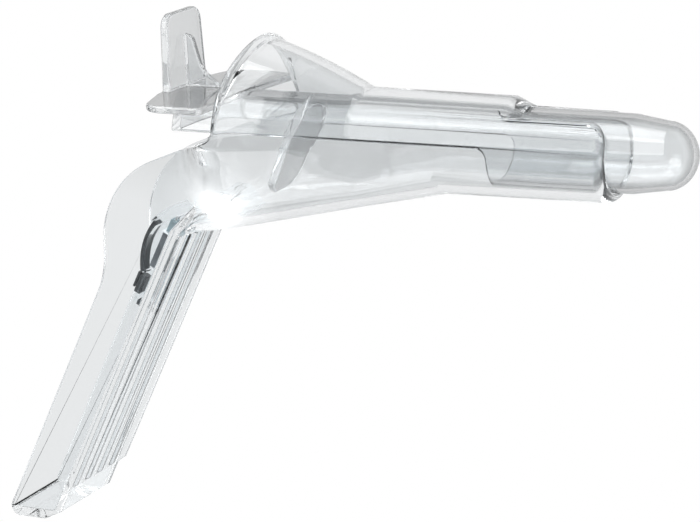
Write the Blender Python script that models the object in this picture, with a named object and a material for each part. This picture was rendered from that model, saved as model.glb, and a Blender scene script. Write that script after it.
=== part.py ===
"""A clear, hand-held anoscope with its obturator and its built-in light, lying on its side.

Three moulded or assembled things make it up: the speculum, which is one clear moulding of sheath, funnel and
pistol handle; the obturator, a second clear moulding that fills the sheath and slides out backwards; and the
light module that is clipped in the top of the handle.

Sizes are in millimetres. In the part's own frame x runs along the sheath towards its open end, y is up, away
from the handle, and z is to the side. x = 0 lies on the sheath's axis where the keel under it begins.
"""
import math

import bmesh
import bpy
from mathutils import Matrix, Vector

MM = 0.001

# Sheath
SHEATH_FRONT = 41.5
SHEATH_REAR = 20.5
SHEATH_WALL = 2.0
SHEATH_ROUNDING = 2.7
SHEATH_LAND = 0.3
MOULD_DRAFT = 0.0093
SLIDE_CLEARANCE = 0.35

# Window in the top of the sheath
WINDOW_LENGTH = 26.3
WINDOW_SILL = 7.9
WINDOW_CORNER = 3.0
WINDOW_FRONT_CORNER = 4.5
WINDOW_BEVEL = 6.0

# Funnel and keel
FUNNEL_LENGTH = 28.0
FUNNEL_ANGLE = math.radians(21.9)
BODY_HALF_WIDTH = 17.0
FUNNEL_WALL = 2.0
KEEL_ANGLE = math.radians(11.5)
RIM_LEAN = math.radians(4.5)
RIM_HEEL_X = -50.6
RIM_HEEL_Y = 2.6
RIM_HEEL_RADIUS = 5.0
LIP_RADIUS = 1.4
LIP_END_RADIUS = 0.8
LIP_SETBACK = 0.4

# Handle
HANDLE_WIDTH = 25.0
HANDLE_WALL = 1.8
HANDLE_LEAN = math.radians(26.7)
HANDLE_FRONT_X = -66.2
HANDLE_DEPTH = 16.4
HANDLE_BOTTOM = 100.8
HANDLE_FLOOR = 2.0
PALM_SLOPE = math.radians(21.6)
PALM_DEPTH = 21.1
PALM_X = HANDLE_FRONT_X - PALM_DEPTH
PALM_RADIUS = 22.6
NECK_RADIUS = 22.0
HANDLE_HEEL_RADIUS = 2.5
TOE_CHAMFER = 4.6

# Grip ribs on the front of the handle
RIB_COUNT = 5
RIB_HEIGHT = 1.5
RIB_WIDTH = 1.4
RIB_END = 10.2
RIB_SEAT = 1.0

# Obturator
OBTURATOR_RADIUS = 9.1
OBTURATOR_WALL = 1.7
STEM_LENGTH = 109.5
STEM_EDGE_Y = 1.0
STEM_OPEN_TO = 12.8
STEM_CORNER = 2.5
NOSE_STRAIGHT = 4.0
NOSE_CONE_LENGTH = 8.0
NOSE_CONE_DROP = 1.25
NOSE_DOME_LENGTH = 6.5
NOSE_TIP_WALL = 2.0

# Flange, thumb tab and web of the obturator
FLANGE_TOP = 10.3
FLANGE_THICKNESS = 1.8
FLANGE_HALF_WIDTH = 26.0
FLANGE_REAR = 2.6
FLANGE_BOW = 4.0
FLANGE_BOW_HALF_WIDTH = 11.0
FLANGE_BOW_RADIUS = 14.0
FLANGE_CORNER = 4.5
FLANGE_FRONT_CORNER = 1.2
TAB_HALF_WIDTH = 9.5
TAB_TAPER = 1.2
TAB_HEIGHT = 18.2
TAB_THICKNESS = 2.1
TAB_LEAN = math.radians(1.0)
TAB_CORNER = 3.4
TAB_OVERHANG = 1.2
WEB_THICKNESS = 1.8
WEB_HEIGHT = 12.4
WEB_DEPTH = 2.8
WEB_WAIST = 5.2
WEB_WAIST_Y = 14.2
WEB_FOOT = 10.6
FOOT_THICKNESS = 2.0
FOOT_X = -38.0
FOOT_DEPTH = 13.3
FOOT_HALF_WIDTH = 6.4

# Light module
SEAT_GAP = 0.3
MODULE_HALF_WIDTH = 3.0
MODULE_WALL = 0.7
MODULE_RADIUS = 17.9
MODULE_DEPTH = 17.2
MODULE_RISE = 5.7
MODULE_NOSE = 5.2
MODULE_BACK_X = HANDLE_FRONT_X - MODULE_DEPTH
MODULE_NOSE_X = HANDLE_FRONT_X + MODULE_NOSE
MODULE_BELOW_SWITCH = 3.5
MODULE_FOOT_DEPTH = 4.9
SPINE_THICKNESS = 1.3
SPINE_HALF_WIDTH = 1.2
SPINE_FROM = math.radians(138.0)
SPINE_TO = math.radians(184.0)
CELL_LENGTH = 9.6
CELL_THICKNESS = 2.1
CELL_HALF_WIDTH = 1.1
CELL_DROP = 11.2
CELL_SETBACK = 3.1
SHEET_THICKNESS = 0.3
LAMP_RADIUS = 1.5
LAMP_LENGTH = 4.2
LAMP_FLANGE = 0.35
LAMP_FLANGE_LENGTH = 1.0
LAMP_TILT = math.radians(9.0)
LEAD_RADIUS = 0.25
LEAD_SPREAD = 0.65
LEAD_RISE = 0.5
LEAD_STUB = 1.1
HEADER_LENGTH = 3.4
HEADER_DEPTH = 2.4
HEADER_SETBACK = 2.2
BOARD_LENGTH = 14.0
BOARD_THICKNESS = 0.6
BOARD_HALF_WIDTH = 1.6
CHIP_COUNT = 3
CHIP_LENGTH = 1.2
CHIP_WIDTH = 2.0
CHIP_HEIGHT = 0.5
CHIP_START = 7.6
CHIP_PITCH = 2.1
SWITCH_SETBACK = 6.4
SWITCH_DROP = 5.75
SWITCH_LENGTH = 4.9
SWITCH_DEPTH = 1.7
SWITCH_HALF_WIDTH = 1.3
SWITCH_TRAVEL = 1.2
SLIDER_LENGTH = 4.4
SLIDER_THICKNESS = 0.6
SLIDER_STEM = 0.6
FOOT_CLIP_LENGTH = 1.2
FOOT_CLIP_HALF_WIDTH = 0.9
FRONT_CLIP_DEPTH = 1.3
REAR_CLIP_DEPTH = 0.8
HOOD_WALL = 1.0
HOOD_TOP = 14.4
HOOD_HALF_WIDTH = 5.2
HOOD_REACH = 10.0
HOOD_ROOF = 3.4
SMALL_ROUNDING = 0.2

# How far a cutter reaches past what it cuts
CUT_SPARE = 12.0

ROUND_STEPS = 48
ARC_STEPS = 6


def sheath_radius(x):
    """Outer radius of the sheath at x, which grows backwards by the mould's draft."""
    return bore_radius(x) + SHEATH_WALL


def bore_radius(x):
    return stem_radius(x) + SLIDE_CLEARANCE


def stem_radius(x):
    return OBTURATOR_RADIUS + MOULD_DRAFT * (SHEATH_FRONT - x)


def rounded(corners):
    """Outline through (x, y, radius) corners, each rounded by its own radius."""
    points = []
    count = len(corners)
    for index, (x, y, radius) in enumerate(corners):
        here = Vector((x, y))
        if radius <= 0:
            points.append(here)
            continue
        before = Vector(corners[index - 1][:2]) - here
        after = Vector(corners[(index + 1) % count][:2]) - here
        before.normalize()
        after.normalize()
        half = before.angle(after) / 2
        reach = radius / math.tan(half)
        centre = here + (before + after).normalized() * (radius / math.sin(half))
        start = here + before * reach - centre
        end = here + after * reach - centre
        turn = start.angle_signed(end)
        for step in range(ARC_STEPS + 1):
            angle = -turn * step / ARC_STEPS
            points.append(centre + Matrix.Rotation(angle, 2) @ start)
    return points


def material(name, colour, roughness, metallic=0.0, alpha=1.0):
    made = bpy.data.materials.new(name)
    made.use_nodes = True
    shader = made.node_tree.nodes["Principled BSDF"]
    shader.inputs["Base Color"].default_value = (*colour, 1.0)
    shader.inputs["Roughness"].default_value = roughness
    shader.inputs["Metallic"].default_value = metallic
    shader.inputs["Alpha"].default_value = alpha
    made.diffuse_color = (*colour, alpha)
    return made


def finish_mesh(work, name, origin, finish, parent):
    """Object from a bmesh whose points are in millimetres of the part's frame, with its own origin."""
    bmesh.ops.recalc_face_normals(work, faces=work.faces)
    mesh = bpy.data.meshes.new(name)
    shift = Matrix.Scale(MM, 4) @ Matrix.Translation(-Vector(origin))
    work.transform(shift)
    work.to_mesh(mesh)
    work.free()
    mesh.shade_smooth()
    mesh.set_sharp_from_angle(angle=math.radians(35))
    made = bpy.data.objects.new(name, mesh)
    bpy.context.scene.collection.objects.link(made)
    made.location = Vector(origin) * MM
    if parent is not None:
        made.parent = parent
    if finish is not None:
        mesh.materials.append(finish)
    return made


def helper(made):
    """Marks a cutter or a shape that only takes part in a Boolean."""
    made.hide_render = True
    made.display_type = "WIRE"
    return made


def combine(target, other, operation):
    step = target.modifiers.new(operation.lower() + "_" + other.name, "BOOLEAN")
    other.parent = target.parent
    step.operation = operation
    step.object = other
    step.solver = "EXACT"


def slab(name, outline, z_low, z_high, finish=None, parent=None, origin=(0, 0, 0)):
    """Side-view outline extruded across the part from z_low to z_high."""
    work = bmesh.new()
    low = [work.verts.new((x, y, z_low)) for x, y in outline]
    face = work.faces.new(low)
    grown = bmesh.ops.extrude_face_region(work, geom=[face])
    moved = [item for item in grown["geom"] if isinstance(item, bmesh.types.BMVert)]
    bmesh.ops.translate(work, vec=(0, 0, z_high - z_low), verts=moved)
    return finish_mesh(work, name, origin, finish, parent)


def loft(name, rings, finish=None, parent=None, origin=(0, 0, 0)):
    """Closed skin over rings of equal point count. A ring of one point closes that end in a pole."""
    work = bmesh.new()
    made = [[work.verts.new(point) for point in ring] for ring in rings]
    for first, second in zip(made, made[1:]):
        count = max(len(first), len(second))
        for index in range(count):
            after = (index + 1) % count
            if len(second) == 1:
                work.faces.new((first[index], first[after], second[0]))
            else:
                work.faces.new((first[index], first[after], second[after], second[index]))
    work.faces.new(made[0])
    if len(made[-1]) > 1:
        work.faces.new(made[-1])
    return finish_mesh(work, name, origin, finish, parent)


def circle(x, radius):
    points = []
    for step in range(ROUND_STEPS):
        angle = 2 * math.pi * step / ROUND_STEPS
        points.append((x, radius * math.sin(angle), radius * math.cos(angle)))
    return points


def blend(value, low, high):
    """Smooth 0 to 1 as value goes from low to high."""
    share = min(1.0, max(0.0, (value - low) / (high - low)))
    return share * share * (3 - 2 * share)


def funnel_start():
    return -SHEATH_REAR


def funnel_end():
    return -SHEATH_REAR - FUNNEL_LENGTH


def funnel_top(x):
    """Height of the outer skin on the sheath and on the funnel behind it."""
    past = max(0.0, funnel_start() - x)
    return sheath_radius(max(x, funnel_start())) + past * math.tan(FUNNEL_ANGLE)


def body_half_width(x):
    """Outer half width of the keel's body: the sheath's radius, then wider, and the handle's width behind."""
    if x >= funnel_start():
        return sheath_radius(x)
    if x >= funnel_end():
        share = (funnel_start() - x) / FUNNEL_LENGTH
        start = sheath_radius(funnel_start())
        return start + (BODY_HALF_WIDTH - start) * share
    return BODY_HALF_WIDTH + (HANDLE_WIDTH / 2 - BODY_HALF_WIDTH) * behind_rim(x)


def behind_rim(x):
    """0 at the funnel's rim to 1 where the part has narrowed to the handle."""
    return blend(-x, -funnel_end() + 3.0, -HANDLE_FRONT_X)


def funnel_half_width(x):
    """Outer half width at the axis' height: round up to the funnel's rim, and the handle's width behind it."""
    if x >= funnel_end():
        return funnel_top(x)
    rim = funnel_top(funnel_end())
    return rim + (HANDLE_WIDTH / 2 - rim) * behind_rim(x)


def keel_y(x):
    """Height of the outer underside, which slopes down to the handle from x = 0."""
    return -sheath_radius(max(x, 0.0)) + min(x, 0.0) * math.tan(KEEL_ANGLE)


def skin_ring(x, inset):
    """Section of the sheath, funnel and keel at x, inset from the outer skin."""
    half_width = funnel_half_width(x) - inset
    body = body_half_width(x) - inset
    top = funnel_top(x) - inset
    bottom = -keel_y(x) - inset
    square = 2.0 + 1.6 * blend(-x, 0.0, -HANDLE_FRONT_X)
    points = []
    for step in range(ROUND_STEPS):
        angle = 2 * math.pi * step / ROUND_STEPS
        across, up = math.cos(angle), math.sin(angle)
        if up >= 0:
            points.append((x, top * up, half_width * across))
            continue
        side = math.copysign(abs(across) ** (2 / square), across)
        down = abs(up) ** (2 / square)
        wide = body + (half_width - body) * (1 - down) ** 2
        points.append((x, -bottom * down, wide * side))
    return points


def lip_rings():
    """Sections of the round lip along the funnel's rim, from the near heel over the top to the far heel."""
    rings = []
    steps = ROUND_STEPS // 2
    start = math.asin((RIM_HEEL_Y + RIM_HEEL_RADIUS / 2) / (funnel_top(funnel_end()) - FUNNEL_WALL / 2))
    for step in range(steps + 1):
        turn = start + (math.pi - 2 * start) * step / steps
        x = rim_x(funnel_top(funnel_end()) * math.sin(turn)) + LIP_SETBACK
        middle = funnel_top(x) - FUNNEL_WALL / 2
        fade = blend(min(step, steps - step), 0, steps / 6)
        thick = LIP_END_RADIUS + (LIP_RADIUS - LIP_END_RADIUS) * fade
        x += (1 - fade) * (LIP_END_RADIUS - LIP_SETBACK + SMALL_ROUNDING)
        ring = []
        for corner in range(2 * ARC_STEPS):
            angle = math.pi * corner / ARC_STEPS
            out = middle + thick * math.cos(angle)
            ring.append((x + thick * math.sin(angle), out * math.sin(turn), out * math.cos(turn)))
        rings.append(ring)
    return rings


def mouth_rings():
    """The sheath's open end, where the outer skin rounds over towards the bore."""
    rings = []
    start = SHEATH_FRONT - SHEATH_ROUNDING
    inner = bore_radius(SHEATH_FRONT) + SHEATH_LAND
    for step in range(ARC_STEPS + 1):
        angle = math.pi / 2 * (1 - step / ARC_STEPS)
        x = start + SHEATH_ROUNDING * math.cos(angle)
        rings.append(circle(x, inner + (sheath_radius(x) - inner) * math.sin(angle)))
    rings.reverse()
    return rings


def body_stations():
    """Places of the funnel's sections, closer together where its shape turns."""
    behind = HANDLE_FRONT_X - HANDLE_DEPTH - CUT_SPARE
    count = 26
    return [behind * step / count for step in range(count + 1)]


def handle_front(y):
    """x of the grip ribs' crests at height y."""
    return HANDLE_FRONT_X + (y - keel_y(HANDLE_FRONT_X)) * math.tan(HANDLE_LEAN)


def handle_face(y):
    """x of the outer front face between the ribs at height y."""
    return handle_front(y) - RIB_HEIGHT


def handle_inner(y):
    """x of the channel's inner front face at height y."""
    return handle_face(y) - HANDLE_WALL / math.cos(HANDLE_LEAN)


def handle_rear(y):
    return handle_front(y) - HANDLE_DEPTH


def palm_y(x):
    """Height of the straight rim that runs back from the funnel to the palm rest."""
    return RIM_HEEL_Y + (x - RIM_HEEL_X) * math.tan(PALM_SLOPE)


def rim_x(y):
    """x of the funnel's leaning rim at height y."""
    return RIM_HEEL_X + (y - RIM_HEEL_Y) * math.tan(RIM_LEAN)


def rear_outline():
    """Everything behind the rim of the funnel, the palm rest and the back of the handle, and below its foot."""
    past = 2.5 * CUT_SPARE
    neck_y = keel_y(HANDLE_FRONT_X) + (PALM_X + HANDLE_DEPTH - HANDLE_FRONT_X) / math.tan(HANDLE_LEAN)
    top = funnel_top(funnel_end()) + past
    back = handle_rear(-HANDLE_BOTTOM) - past
    corners = [
        (rim_x(top), top, 0),
        (RIM_HEEL_X, RIM_HEEL_Y, RIM_HEEL_RADIUS),
        (PALM_X, palm_y(PALM_X), PALM_RADIUS),
        (PALM_X, neck_y, NECK_RADIUS),
        (handle_rear(-HANDLE_BOTTOM), -HANDLE_BOTTOM, HANDLE_HEEL_RADIUS),
        (handle_front(-HANDLE_BOTTOM) + past, -HANDLE_BOTTOM, 0),
        (handle_front(-HANDLE_BOTTOM) + past, -HANDLE_BOTTOM - past, 0),
        (back, -HANDLE_BOTTOM - past, 0),
        (back, top, 0),
    ]
    return rounded(corners)


def handle_outline():
    """Side view of the handle's block, larger than its finished back and foot, which the rear cut makes."""
    spare = CUT_SPARE / 2
    low = -HANDLE_BOTTOM - spare
    toe = -HANDLE_BOTTOM + TOE_CHAMFER / 2
    return [
        (RIM_HEEL_X - spare, palm_y(RIM_HEEL_X) + spare),
        (PALM_X - spare, palm_y(RIM_HEEL_X) + spare),
        (PALM_X - spare, keel_y(PALM_X)),
        (handle_rear(low) - spare, low),
        (handle_face(toe) - TOE_CHAMFER * (toe - low) / (TOE_CHAMFER / 2), low),
        (handle_face(toe), toe),
        (handle_face(keel_y(HANDLE_FRONT_X)), keel_y(HANDLE_FRONT_X)),
        (RIM_HEEL_X - spare, keel_y(HANDLE_FRONT_X) / 2),
    ]


def channel_outline():
    """Side view of the space inside the handle, open at the back."""
    spare = CUT_SPARE
    floor = -HANDLE_BOTTOM + HANDLE_FLOOR
    sill = keel_y(HANDLE_FRONT_X) + FUNNEL_WALL
    top = palm_y(RIM_HEEL_X) + spare
    return [
        (handle_inner(floor), floor),
        (handle_inner(sill), sill),
        (handle_inner(sill) + spare, sill / 2),
        (handle_inner(sill) + spare, top),
        (PALM_X - spare, top),
        (PALM_X - spare, sill),
        (handle_rear(floor) - spare, floor),
    ]


def rib_outline():
    """Side view of one grip rib, whose foot is set into the handle's face and whose end is sloped."""
    top = keel_y(HANDLE_FRONT_X) + FUNNEL_WALL / 2
    end = -HANDLE_BOTTOM + RIB_END
    run_out = end - 2 * RIB_HEIGHT
    inside = RIB_SEAT / math.cos(HANDLE_LEAN)
    return [
        (handle_front(top), top),
        (handle_front(end), end),
        (handle_face(run_out) - inside, run_out),
        (handle_face(top) - inside, top),
    ]


def window_cutter(parent):
    """Cuts the top of the sheath away above the sill and leaves a bevelled edge at the back."""
    back = SHEATH_FRONT - WINDOW_LENGTH
    above = sheath_radius(back) + CUT_SPARE
    ahead = SHEATH_FRONT + CUT_SPARE
    corners = [
        (back, above, 0),
        (back, WINDOW_SILL, WINDOW_CORNER),
        (SHEATH_FRONT, WINDOW_SILL, 0),
        (ahead, WINDOW_SILL, 0),
        (ahead, above, 0),
    ]
    cutter = helper(slab("window_space", rounded(corners), -above, above, None, parent))
    cone = [
        circle(back - 5.0, sheath_radius(back) + SLIDE_CLEARANCE),
        circle(back, sheath_radius(back) + SLIDE_CLEARANCE),
        circle(back + WINDOW_BEVEL, bore_radius(back) - SLIDE_CLEARANCE),
        circle(back + WINDOW_BEVEL + 0.2, 1.0),
    ]
    bevel = helper(loft("window_bevel", cone))
    combine(cutter, bevel, "DIFFERENCE")
    return cutter


def window_front_cutter():
    """Rounds the two front corners that the window leaves on the sheath's end."""
    reach = WINDOW_FRONT_CORNER
    centre_x = SHEATH_FRONT - reach
    centre_y = WINDOW_SILL - reach
    ahead, above = SHEATH_FRONT + CUT_SPARE, WINDOW_SILL + CUT_SPARE
    wide = sheath_radius(centre_x) + CUT_SPARE
    points = [(ahead, above), (centre_x, above)]
    for step in range(ARC_STEPS + 1):
        angle = math.pi / 2 * (1 - step / ARC_STEPS)
        points.append((centre_x + reach * math.cos(angle), centre_y + reach * math.sin(angle)))
    points.append((ahead, centre_y))
    return helper(slab("window_front_corners", points, -wide, wide))


def make_speculum(finish, parent):
    """The sheath, funnel, keel and handle, which are one moulding."""
    stations = body_stations()
    rings = mouth_rings() + [skin_ring(x, 0.0) for x in (20.0, *stations)]
    body = loft("speculum_body", rings, finish, parent)
    half = HANDLE_WIDTH / 2
    handle = helper(slab("handle_block", handle_outline(), -half, half))
    combine(body, handle, "UNION")
    pitch = (HANDLE_WIDTH - RIB_WIDTH) / (RIB_COUNT - 1)
    for index in range(RIB_COUNT):
        middle = -half + RIB_WIDTH / 2 + pitch * index
        low, high = middle - RIB_WIDTH / 2, middle + RIB_WIDTH / 2
        rib = helper(slab(f"grip_rib_{index + 1}", rib_outline(), low, high))
        combine(body, rib, "UNION")
    bore = [circle(SHEATH_FRONT + 4.0, bore_radius(SHEATH_FRONT + 4.0))]
    bore += [skin_ring(x, FUNNEL_WALL) for x in stations]
    combine(body, helper(loft("inner_space", bore)), "DIFFERENCE")
    inside = half - HANDLE_WALL
    channel = helper(slab("channel_space", channel_outline(), -inside, inside))
    combine(body, channel, "DIFFERENCE")
    wide = funnel_top(funnel_end()) + CUT_SPARE
    rear = helper(slab("rear_space", rear_outline(), -wide, wide))
    combine(body, rear, "DIFFERENCE")
    combine(body, helper(loft("rim_lip", lip_rings())), "UNION")
    combine(body, window_cutter(parent), "DIFFERENCE")
    combine(body, window_front_cutter(), "DIFFERENCE")
    return body


def nose_rings(inset, tip_wall):
    """Rings of the obturator's nose, from its taper's start to the tip, inset from its outer skin."""
    start = SHEATH_FRONT + NOSE_STRAIGHT
    end = start + NOSE_CONE_LENGTH
    base = stem_radius(start)
    rings = [circle(start, base - inset), circle(end, base - NOSE_CONE_DROP - inset)]
    length = NOSE_DOME_LENGTH - tip_wall
    for step in range(1, 8):
        share = math.sin(math.pi / 2 * step / 8)
        radius = (base - NOSE_CONE_DROP - inset) * math.sqrt(1 - share**1.8)
        rings.append(circle(end + length * share, radius))
    rings.append([(end + length, 0.0, 0.0)])
    return rings


def stem_rear():
    return SHEATH_FRONT - STEM_LENGTH


def flange_stop():
    """x of the flange's front edge, which stops a gap short of the funnel's lip."""
    return rim_x(FLANGE_TOP - FLANGE_THICKNESS) + LIP_SETBACK - LIP_RADIUS - SEAT_GAP


def flange_outline():
    """Top view of the wide flange, straight in front and bowed at the back, as (x, z) corners."""
    rear = stem_rear() - FLANGE_REAR
    front = flange_stop()
    narrow = FLANGE_BOW_HALF_WIDTH
    wide = FLANGE_HALF_WIDTH
    corners = [
        (rear, -narrow, FLANGE_BOW_RADIUS),
        (rear + FLANGE_BOW, -wide, FLANGE_CORNER),
        (front, -wide, FLANGE_FRONT_CORNER),
        (front, wide, FLANGE_FRONT_CORNER),
        (rear + FLANGE_BOW, wide, FLANGE_CORNER),
        (rear, narrow, FLANGE_BOW_RADIUS),
    ]
    return rounded(corners)


def upright(made, angle, pivot):
    """Turns a plate that was extruded along z so that it stands across the part, leaning by angle."""
    turn = Matrix.Rotation(angle, 4, "Z") @ Matrix.Rotation(math.radians(90), 4, "Y")
    made.data.transform(turn)
    made.location = Vector(pivot) * MM
    return made


def tab_outline():
    """Face view of the thumb tab as (z, y) corners about its foot."""
    low = -FLANGE_THICKNESS / 2
    wide = TAB_HALF_WIDTH
    corners = [
        (-wide, low, 0),
        (wide, low, 0),
        (wide - TAB_TAPER, TAB_HEIGHT, TAB_CORNER),
        (TAB_TAPER - wide, TAB_HEIGHT, TAB_CORNER),
    ]
    return rounded(corners)


def foot_outline():
    """Face view of the stem's foot: a round head inside the stem and a tongue below it."""
    radius = stem_radius(FOOT_X) - OBTURATOR_WALL / 2
    points = []
    for step in range(2 * ARC_STEPS + 1):
        angle = math.pi * step / (2 * ARC_STEPS)
        points.append((radius * math.cos(angle), STEM_EDGE_Y + (radius - STEM_EDGE_Y) * math.sin(angle)))
    low = -FOOT_DEPTH / math.cos(HANDLE_LEAN)
    points += [(-FOOT_HALF_WIDTH, low + FOOT_HALF_WIDTH / 3), (-FOOT_HALF_WIDTH * 0.6, low)]
    points += [(FOOT_HALF_WIDTH * 0.6, low), (FOOT_HALF_WIDTH, low + FOOT_HALF_WIDTH / 3)]
    return points


def web_outline():
    """Side view of the web between the thumb tab and the stem."""
    base = FLANGE_TOP - FLANGE_THICKNESS / 2
    tab = stem_rear() - TAB_OVERHANG
    top = FLANGE_TOP + WEB_HEIGHT
    corners = [
        (tab, base, 0),
        (tab, top, 0),
        (tab + WEB_DEPTH, top, TAB_THICKNESS),
        (tab + WEB_WAIST, WEB_WAIST_Y, 2 * TAB_CORNER),
        (tab + WEB_FOOT, FLANGE_TOP, 0),
        (tab + WEB_FOOT, base, 0),
    ]
    return rounded(corners)


def make_obturator(finish, parent):
    """The half-round stem, closed nose, flange and thumb tab, which are one moulding."""
    rear = stem_rear()
    origin = (rear, 0, 0)
    rings = [circle(rear, stem_radius(rear)), *nose_rings(0.0, 0.0)]
    stem = loft("obturator", rings, finish, parent)
    low = FLANGE_TOP - FLANGE_THICKNESS
    flange = helper(slab("flange_plate", flange_outline(), -FLANGE_TOP, -low))
    flange.data.transform(Matrix.Rotation(math.radians(90), 4, "X"))
    flange.data.transform(Matrix.Scale(-1, 4, (0, 0, 1)))
    flange.data.flip_normals()
    combine(stem, flange, "UNION")
    half = TAB_THICKNESS / 2
    tab = helper(slab("thumb_tab", tab_outline(), -half, half))
    upright(tab, TAB_LEAN, (rear - TAB_OVERHANG, FLANGE_TOP, 0))
    combine(stem, tab, "UNION")
    web = helper(slab("tab_web", web_outline(), -WEB_THICKNESS / 2, WEB_THICKNESS / 2))
    combine(stem, web, "UNION")
    inner = stem_radius(rear + OBTURATOR_WALL) - OBTURATOR_WALL
    hollow = [circle(rear + OBTURATOR_WALL, inner), *nose_rings(OBTURATOR_WALL, NOSE_TIP_WALL)]
    combine(stem, helper(loft("stem_hollow", hollow)), "DIFFERENCE")
    deep = stem_radius(rear) + CUT_SPARE
    corners = [
        (rear - CUT_SPARE, STEM_EDGE_Y, 0),
        (rear - CUT_SPARE, -deep, 0),
        (STEM_OPEN_TO, -deep, 0),
        (STEM_OPEN_TO, STEM_EDGE_Y, STEM_CORNER),
    ]
    below = helper(slab("space_below_stem", rounded(corners), -deep, deep))
    combine(stem, below, "DIFFERENCE")
    foot = helper(slab("stem_foot", foot_outline(), -FOOT_THICKNESS / 2, FOOT_THICKNESS / 2))
    upright(foot, -HANDLE_LEAN, (FOOT_X, 0, 0))
    combine(stem, foot, "UNION")
    return stem


def module_front(y):
    """x of the light module's front, a gap behind the channel's inner face."""
    return handle_inner(y) - SEAT_GAP / math.cos(HANDLE_LEAN)


def keel_floor(x):
    """Height of the keel's inner floor."""
    return keel_y(x) + FUNNEL_WALL


def module_top():
    """Height of the module's top, above the keel's floor at the handle."""
    return keel_floor(HANDLE_FRONT_X) + MODULE_RISE


def module_centre():
    """Centre of the module's round back, which keeps its back and top whatever its radius."""
    return (MODULE_BACK_X + MODULE_RADIUS, module_top() - MODULE_RADIUS)


def module_arc(radius, start, end):
    """Points of the module's round back, from start to end angle."""
    x, y = module_centre()
    points = []
    steps = 2 * ARC_STEPS
    for step in range(steps + 1):
        angle = start + (end - start) * step / steps
        points.append((x + radius * math.cos(angle), y + radius * math.sin(angle)))
    return points


def beside_handle(x, y, distance):
    """The point at a distance behind (x, y), square to the handle's direction."""
    return (x - distance * math.cos(HANDLE_LEAN), y + distance * math.sin(HANDLE_LEAN))


def along_handle(x, y, distance):
    """The point at a distance down the handle's direction from (x, y)."""
    return (x - distance * math.sin(HANDLE_LEAN), y - distance * math.cos(HANDLE_LEAN))


def switch_y():
    """Height of the switch's middle, below the spine's lower end."""
    return module_centre()[1] + MODULE_RADIUS * math.sin(SPINE_TO) - SWITCH_DROP


def module_foot():
    """Lower front corner of the light module's case, below the switch."""
    bottom = switch_y() - MODULE_BELOW_SWITCH
    return (module_front(bottom), bottom)


def module_ledge(inset):
    """Height of the ledge under the module's round back, which clears the power cell."""
    _, y = beside_handle(*cell_corner(), MODULE_FOOT_DEPTH - MODULE_WALL - CELL_SETBACK)
    return min(module_centre()[1], y - SEAT_GAP - MODULE_WALL) + inset


def module_outline(inset):
    """Side view of the light module's case, inset from its outside."""
    nose_x = MODULE_NOSE_X - inset
    seat = MODULE_RADIUS - SPINE_THICKNESS - SEAT_GAP
    step_angle = SPINE_FROM - SEAT_GAP / MODULE_RADIUS
    bend = keel_floor(HANDLE_FRONT_X) + SEAT_GAP + inset / 2
    front = beside_handle(*along_handle(*module_foot(), -inset), inset)
    back = beside_handle(*along_handle(*module_foot(), -inset), MODULE_FOOT_DEPTH - inset)
    ledge = module_ledge(inset)
    shoulder = along_handle(*back, (back[1] - ledge) / math.cos(HANDLE_LEAN))
    above_ledge = max(0.0, ledge - module_centre()[1])
    arc_end = math.pi - math.asin(above_ledge / (seat - inset))
    points = [
        front,
        (module_front(bend) - inset / math.cos(HANDLE_LEAN), bend),
        (nose_x, keel_floor(nose_x) + SEAT_GAP + inset),
        (nose_x, module_top() - inset),
    ]
    points += module_arc(MODULE_RADIUS - inset, math.radians(90), step_angle - inset / MODULE_RADIUS)
    points += module_arc(seat - inset, step_angle - inset / MODULE_RADIUS, arc_end)
    if ledge < points[-1][1]:
        points.append((points[-1][0], ledge))
    points += [shoulder, back]
    return points


def block_outline(corner, depth, length):
    """Side view of a block from its lower front corner, back by depth and up the handle by length."""
    back = beside_handle(*corner, depth)
    return [corner, back, along_handle(*back, -length), along_handle(*corner, -length)]


def make_module_case(finish, parent):
    """The clear, narrow tray that holds the light's pieces, open on its near side and at its nose."""
    wide = MODULE_HALF_WIDTH
    case = slab("module_case", module_outline(0.0), -wide, wide, finish, parent)
    hollow = helper(slab("case_hollow", module_outline(MODULE_WALL), MODULE_WALL - wide, wide + 1.0))
    combine(case, hollow, "DIFFERENCE")
    x, y, _ = lamp_centre()
    hole = LAMP_RADIUS + LAMP_FLANGE + SEAT_GAP
    corners = [(x - hole, y - hole), (x + 4 * hole, y - hole), (x + 4 * hole, y + 3 * hole), (x - hole, y + 3 * hole)]
    combine(case, helper(slab("lamp_notch", corners, -hole, hole)), "DIFFERENCE")
    rest = -CELL_HALF_WIDTH - SEAT_GAP
    cradle = block_outline(along_handle(*cell_corner(), -SEAT_GAP), CELL_THICKNESS, CELL_LENGTH - 2 * SEAT_GAP)
    combine(case, helper(slab("cell_cradle", cradle, MODULE_WALL / 2 - wide, rest)), "UNION")
    switch_x, switch_y, _ = switch_place()
    low = along_handle(*beside_handle(switch_x, switch_y, SWITCH_DEPTH), SWITCH_LENGTH / 2 + SEAT_GAP)
    low = beside_handle(*low, -2 * SWITCH_DEPTH - SEAT_GAP)
    space = block_outline(low, 3 * SWITCH_DEPTH, SWITCH_LENGTH + 2 * SEAT_GAP)
    wide = SWITCH_HALF_WIDTH + SEAT_GAP
    combine(case, helper(slab("switch_window", space, -wide, wide)), "DIFFERENCE")
    return case


def make_spine(finish, parent):
    """The narrow black strip along the module's round back."""
    outer = module_arc(MODULE_RADIUS, SPINE_FROM, SPINE_TO)
    inner = module_arc(MODULE_RADIUS - SPINE_THICKNESS, SPINE_TO, SPINE_FROM)
    return slab("module_spine", outer + inner, -SPINE_HALF_WIDTH, SPINE_HALF_WIDTH, finish, parent)


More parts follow.
